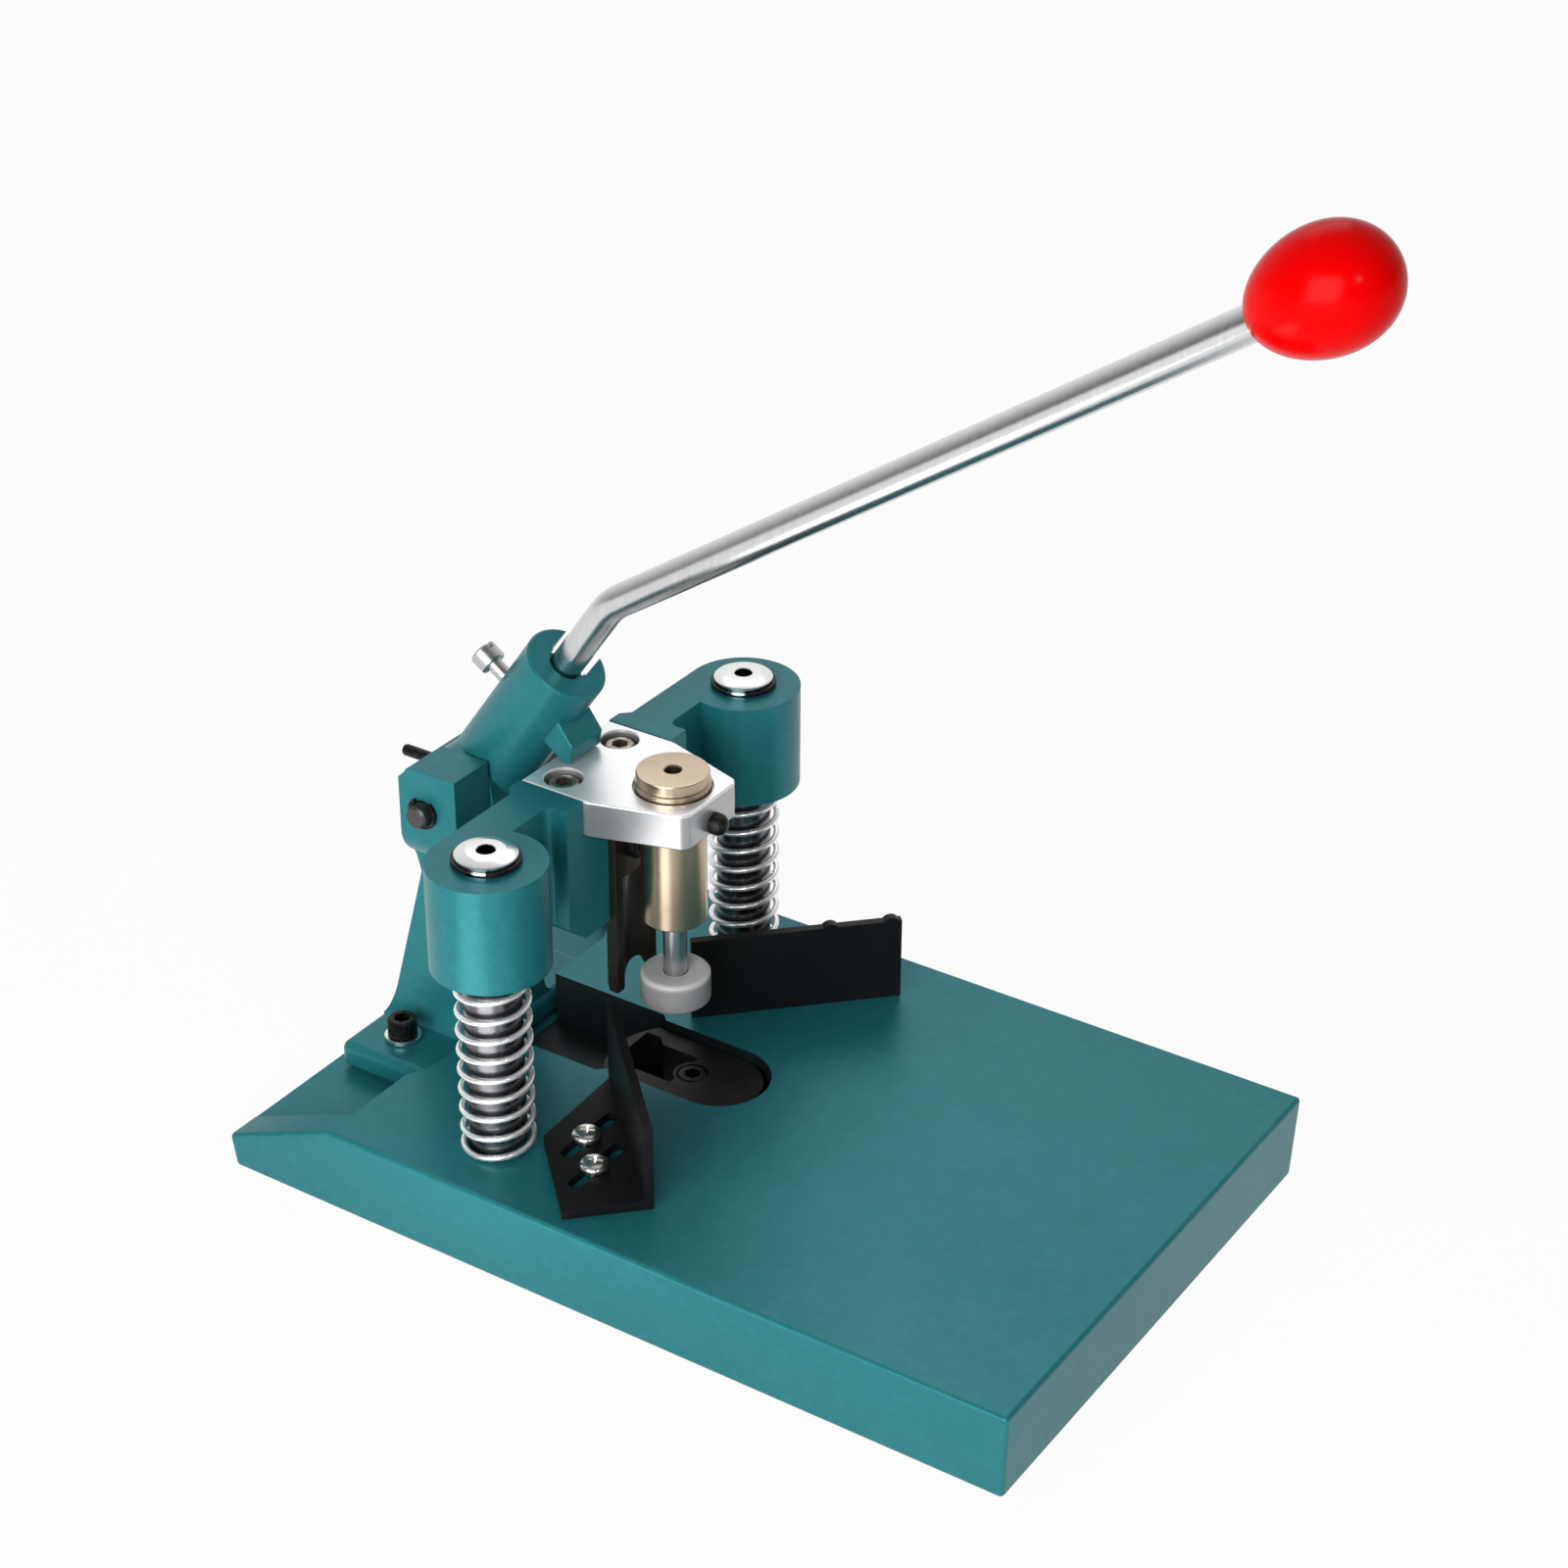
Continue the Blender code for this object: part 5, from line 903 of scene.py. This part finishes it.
# Presser: brass sleeve, rod, foot and spring
def make_presser(brass, steel, nylon, wire):
    place = at(0.0, PRESSER_Y, 0.0)
    sleeve = [(4.2, 86.0), (9.9, 86.0), (10.6, 86.7), (10.6, 132.8), (12.0, 132.8),
              (12.2, 133.0), (12.2, 135.9), (11.9, 136.2), (11.7, 136.2), (11.7, 139.2),
              (11.5, 139.6), (11.1, 139.8), (3.1, 139.8), (2.7, 139.4), (2.7, 136.8),
              (7.8, 136.8), (7.8, 92.0), (4.2, 92.0)]
    sleeve = turned("sleeve", sleeve, place, 72)
    hand_over(sleeve, brass, "crosshead", "presser_sleeve", angle=30.0)
    rod = [(0.0, 60.0), (3.9, 60.0), (3.9, 92.3), (7.2, 92.3), (7.2, 95.3), (3.9, 95.3),
           (3.9, 105.7), (3.3, 106.3), (0.0, 106.3)]
    rod = turned("plunger", rod, place, 48)
    hand_over(rod, steel, "presser", "presser_rod")
    foot = [(0.0, 55.2), (10.0, 55.2), (10.7, 55.4), (11.3, 55.9), (11.5, 56.6), (11.5, 64.6),
            (11.3, 65.3), (10.7, 65.8), (10.1, 66.0), (6.9, 66.0), (6.4, 65.6), (4.2, 65.6),
            (4.2, 59.7), (0.0, 59.7)]
    foot = turned("foot_pad", foot, place, 72)
    hand_over(foot, nylon, "presser", "presser_foot", angle=40.0)
    low = PRESSER_COIL_HIGH - PRESSER_COIL_LENGTH
    coil = make_coil("presser_coil", 6.0, 1.2, low, PRESSER_COIL_LENGTH, 8, place)
    hand_over(coil, wire, "crosshead", "presser_spring",
              angle=60.0, weighted=False)
    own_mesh(coil)


# Lever socket, handle and knob
def make_lever(enamel, steel, satin, red):
    lean = Matrix.Translation(PIVOT * MM) @ Matrix.Rotation(radians(SOCKET_LEAN), 4, "X")
    across = facing((0.0, 0.0, 0.0), (1.0, 0.0, 0.0))
    tube = [(0.0, 0.0), (13.7, 0.0), (13.7, 60.3), (13.0, 61.0), (0.0, 61.0)]
    socket = turned("socket_body", tube, None, 96)
    join(socket, turned("hub", disc(14.0, -14.2, 14.2), across, 96))
    lug = [(-6.8, 37.3)] + arc(-19.7, 39.9, 2.6, 270.0, 180.0, 10) + [(-20.2, 44.7), (-6.8, 49.3)]
    block = solid("lug", lug, -8.0, 8.0, "YZ")
    soften(block, 0.6, 3, 45.0)
    join(socket, block)
    drill(socket, 4.3, -17.0, 17.0, across, 40)
    drill(socket, 5.55, 16.5, 64.0, None, 48)
    drill(socket, 6.2, 49.0, 64.0, None, 64)
    slot = solid("slot", box(-6.8, 49.0, 6.8, 64.0), 1.0, 16.0, "YZ")
    cut(socket, settle(slot, Matrix.Rotation(radians(12.0), 4, "Z")))
    place = facing((0.0, 0.0, LOCK_SCREW_ALONG), (0.0, 1.0, 0.0))
    drill(socket, 2.9, 0.0, 16.0, place, 32)
    soften(socket, 0.35, 2, 50.0)
    settle(socket, lean)
    hand_over(socket, enamel, "lever", "lever_socket", angle=30.0)
    make_handle(steel, red)
    screw = [(0.0, 5.55), (2.2, 5.55), (2.6, 6.0), (2.6, 19.0), (4.2, 19.0), (4.6, 19.5),
             (4.6, 24.6), (4.1, 25.2), (0.0, 25.2)]
    lock = turned("lock_bolt", screw, None, 48)
    cut(lock, solid("groove", box(-0.9, 22.8, 0.9, 27.0), -7.0, 7.0, "XZ"))
    soften(lock, 0.15, 2, 60.0)
    axis, front = socket_axes()
    settle(lock, facing(PIVOT + axis * LOCK_SCREW_ALONG, -front))
    hand_over(lock, satin, "lever", "handle_lock_screw")


def socket_axes():
    """The socket's own axis and the way its front faces."""
    lean = radians(SOCKET_LEAN)
    return Vector((0.0, -sin(lean), cos(lean))), Vector((0.0, -cos(lean), -sin(lean)))


def make_handle(steel, red):
    """The rod follows the socket, bends once and ends in the knob."""
    axis, front = socket_axes()
    rise = radians(ROD_RISE)
    out = Vector((0.0, -cos(rise), sin(rise)))
    bend = radians(90.0 - SOCKET_LEAN - ROD_RISE)
    corner = PIVOT + axis * ROD_CORNER
    centre = corner - axis * (ROD_BEND * tan(bend / 2.0)) + front * ROD_BEND
    points = [PIVOT + axis * 16.8]
    for i in range(17):
        a = bend * i / 16
        points.append(centre - front * (ROD_BEND * cos(a)) + axis * (ROD_BEND * sin(a)))
    knob_centre = corner + out * ROD_REACH
    points.append(knob_centre - out * 3.4)
    bar = thread("lever_bar", points, 5.25, 14)
    hand_over(bar, steel, "lever", "handle_rod", weighted=False)
    profile = [(0.0, KNOB_HALF_LENGTH)]
    for i in range(1, 60):
        a = pi * i / 60.0
        radius = KNOB_RADIUS * sin(a) * (1.0 + 0.10 * cos(a))
        if cos(a) < 0.0 and radius < 6.3:
            break
        profile.append((radius, KNOB_HALF_LENGTH * cos(a)))
    last = profile[-1][1]
    profile += [(5.55, last - 0.5), (5.55, last + 18.0), (0.0, last + 18.0)]
    knob = turned("knob", profile, facing(knob_centre, out), 96)
    hand_over(knob, red, "lever", "handle_knob", angle=50.0, weighted=False)


# Stage, light and camera
def make_floor():
    """A white bench that keeps the shadow. Camera, glass and shiny faces see it pale."""
    deselect()
    bpy.ops.mesh.primitive_plane_add(size=12.0, location=(0.0, 0.0, 0.0))
    floor = bpy.context.object
    floor.name = "floor"
    mat = bpy.data.materials.new("floor_white")
    mat.use_nodes = True
    mat.node_tree.nodes.clear()
    bench = Nodes(mat.node_tree)
    pale = bench.looking("Is Camera Ray", "Is Transmission Ray", "Is Glossy Ray") * FLOOR_GLOW
    plain = bench.add("ShaderNodeBsdfDiffuse", {}, {"Color": FLOOR_COLOUR})
    glow = bench.add("ShaderNodeEmission", {}, {"Color": (1.0, 1.0, 1.0)})
    mix = bench.add("ShaderNodeMixShader", {}, {0: pale, 1: plain, 2: glow})
    out = mat.node_tree.nodes.new("ShaderNodeOutputMaterial")
    bench.feed(out.inputs["Surface"], mix)
    floor.data.materials.append(mat)


def lamp(name, place, target, size, power):
    light = bpy.data.lights.new(name, "AREA")
    light.shape = "RECTANGLE"
    light.size, light.size_y = size
    light.energy = power
    obj = bpy.data.objects.new(name, light)
    bpy.context.scene.collection.objects.link(obj)
    obj.location = place
    obj.rotation_mode = "QUATERNION"
    obj.rotation_quaternion = (Vector(target) - Vector(place)).to_track_quat("-Z", "Y")
    return obj


def make_world():
    """White to the camera, dim for matt faces, and lit from one side for shiny ones."""
    world = bpy.data.worlds.new("studio")
    bpy.context.scene.world = world
    world.use_nodes = True
    room = Nodes(world.node_tree)
    way = room.add("ShaderNodeTexCoord", output="Generated")
    toward = room.add("ShaderNodeVectorMath", {"operation": "DOT_PRODUCT"},
                      {0: way, 1: BRIGHT_SIDE}, "Value")
    shine = room.add("ShaderNodeMapRange", {},
                     {"Value": toward, "From Min": -0.2, "From Max": 1.0,
                      "To Min": 0.08, "To Max": 1.0})
    lit = room.add("ShaderNodeMix", {},
                   {"Factor": room.looking("Is Glossy Ray"), "A": ROOM_LIGHT, "B": shine})
    level = room.add("ShaderNodeMix", {},
                     {"Factor": room.looking("Is Camera Ray", "Is Transmission Ray"),
                      "A": lit, "B": 1.0})
    back = room.tree.nodes["Background"]
    room.feed(back.inputs["Color"], (1.0, 1.0, 1.0))
    room.feed(back.inputs["Strength"], level)


def make_light():
    make_world()
    lamp("left_softbox", (-1.38, -0.20, 0.56), (0.0, 0.02, 0.10), (1.2, 1.0), 24.0)
    lamp("top_softbox", (0.75, 0.50, 1.15), (0.0, 0.0, 0.05), (0.8, 0.6), 2.0)
    lamp("front_sparkle", (-0.72, -1.20, 0.95), (0.0, -0.08, 0.15), (0.16, 0.14), 2.0)
    card = lamp("bench_card", (-0.25, 0.035, 0.003), (-0.25, 0.035, 1.0), (0.20, 0.13), 0.25)
    card.data.diffuse_factor = 0.0
    card.visible_camera = False


def make_camera():
    azimuth, elevation = radians(CAMERA_AZIMUTH), radians(CAMERA_ELEVATION)
    roll = radians(CAMERA_ROLL)
    back = Vector((sin(azimuth) * cos(elevation), -cos(azimuth) * cos(elevation),
                   sin(elevation)))
    right = Vector((cos(azimuth), sin(azimuth), 0.0))
    up = back.cross(right)
    side = right * cos(roll) + up * sin(roll)
    top = up * cos(roll) - right * sin(roll)
    turn = Matrix((side, top, back)).transposed().to_4x4()
    spot = Vector(CAMERA_TARGET) * MM + back * CAMERA_DISTANCE
    data = bpy.data.cameras.new("camera")
    data.lens = FOCAL_PIXELS / PHOTO_PIXELS * SENSOR
    data.sensor_width = SENSOR
    data.clip_start = 0.05
    data.clip_end = 50.0
    camera = bpy.data.objects.new("camera", data)
    bpy.context.scene.collection.objects.link(camera)
    camera.matrix_world = Matrix.Translation(spot) @ turn
    bpy.context.scene.camera = camera


def main():
    bpy.context.scene.view_settings.view_transform = "Standard"
    make_camera()
    make_light()
    make_floor()
    enamel, black, zinc = teal_enamel(), black_oxide(), bright_zinc()
    wire, satin = spring_wire(), satin_steel()
    make_base(enamel, slot_shade_finish())
    make_posts(ground_chrome(), wire, black)
    make_die(die_steel(), black)
    make_fences(fence_black(), zinc)
    make_bracket(enamel, black, zinc, oiled_pin())
    make_crosshead(enamel)
    make_plate(milled_aluminium(), rubbed_oxide(), black)
    make_blade(heat_treated_knife(), black)
    make_presser(turned_brass(), satin, grey_nylon(), wire)
    make_lever(enamel, brushed_rod(), satin, red_plastic())
    for word in ("post_screw_left", "post_screw_right"):
        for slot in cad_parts[word].material_slots:
            slot.material = black.material


main()
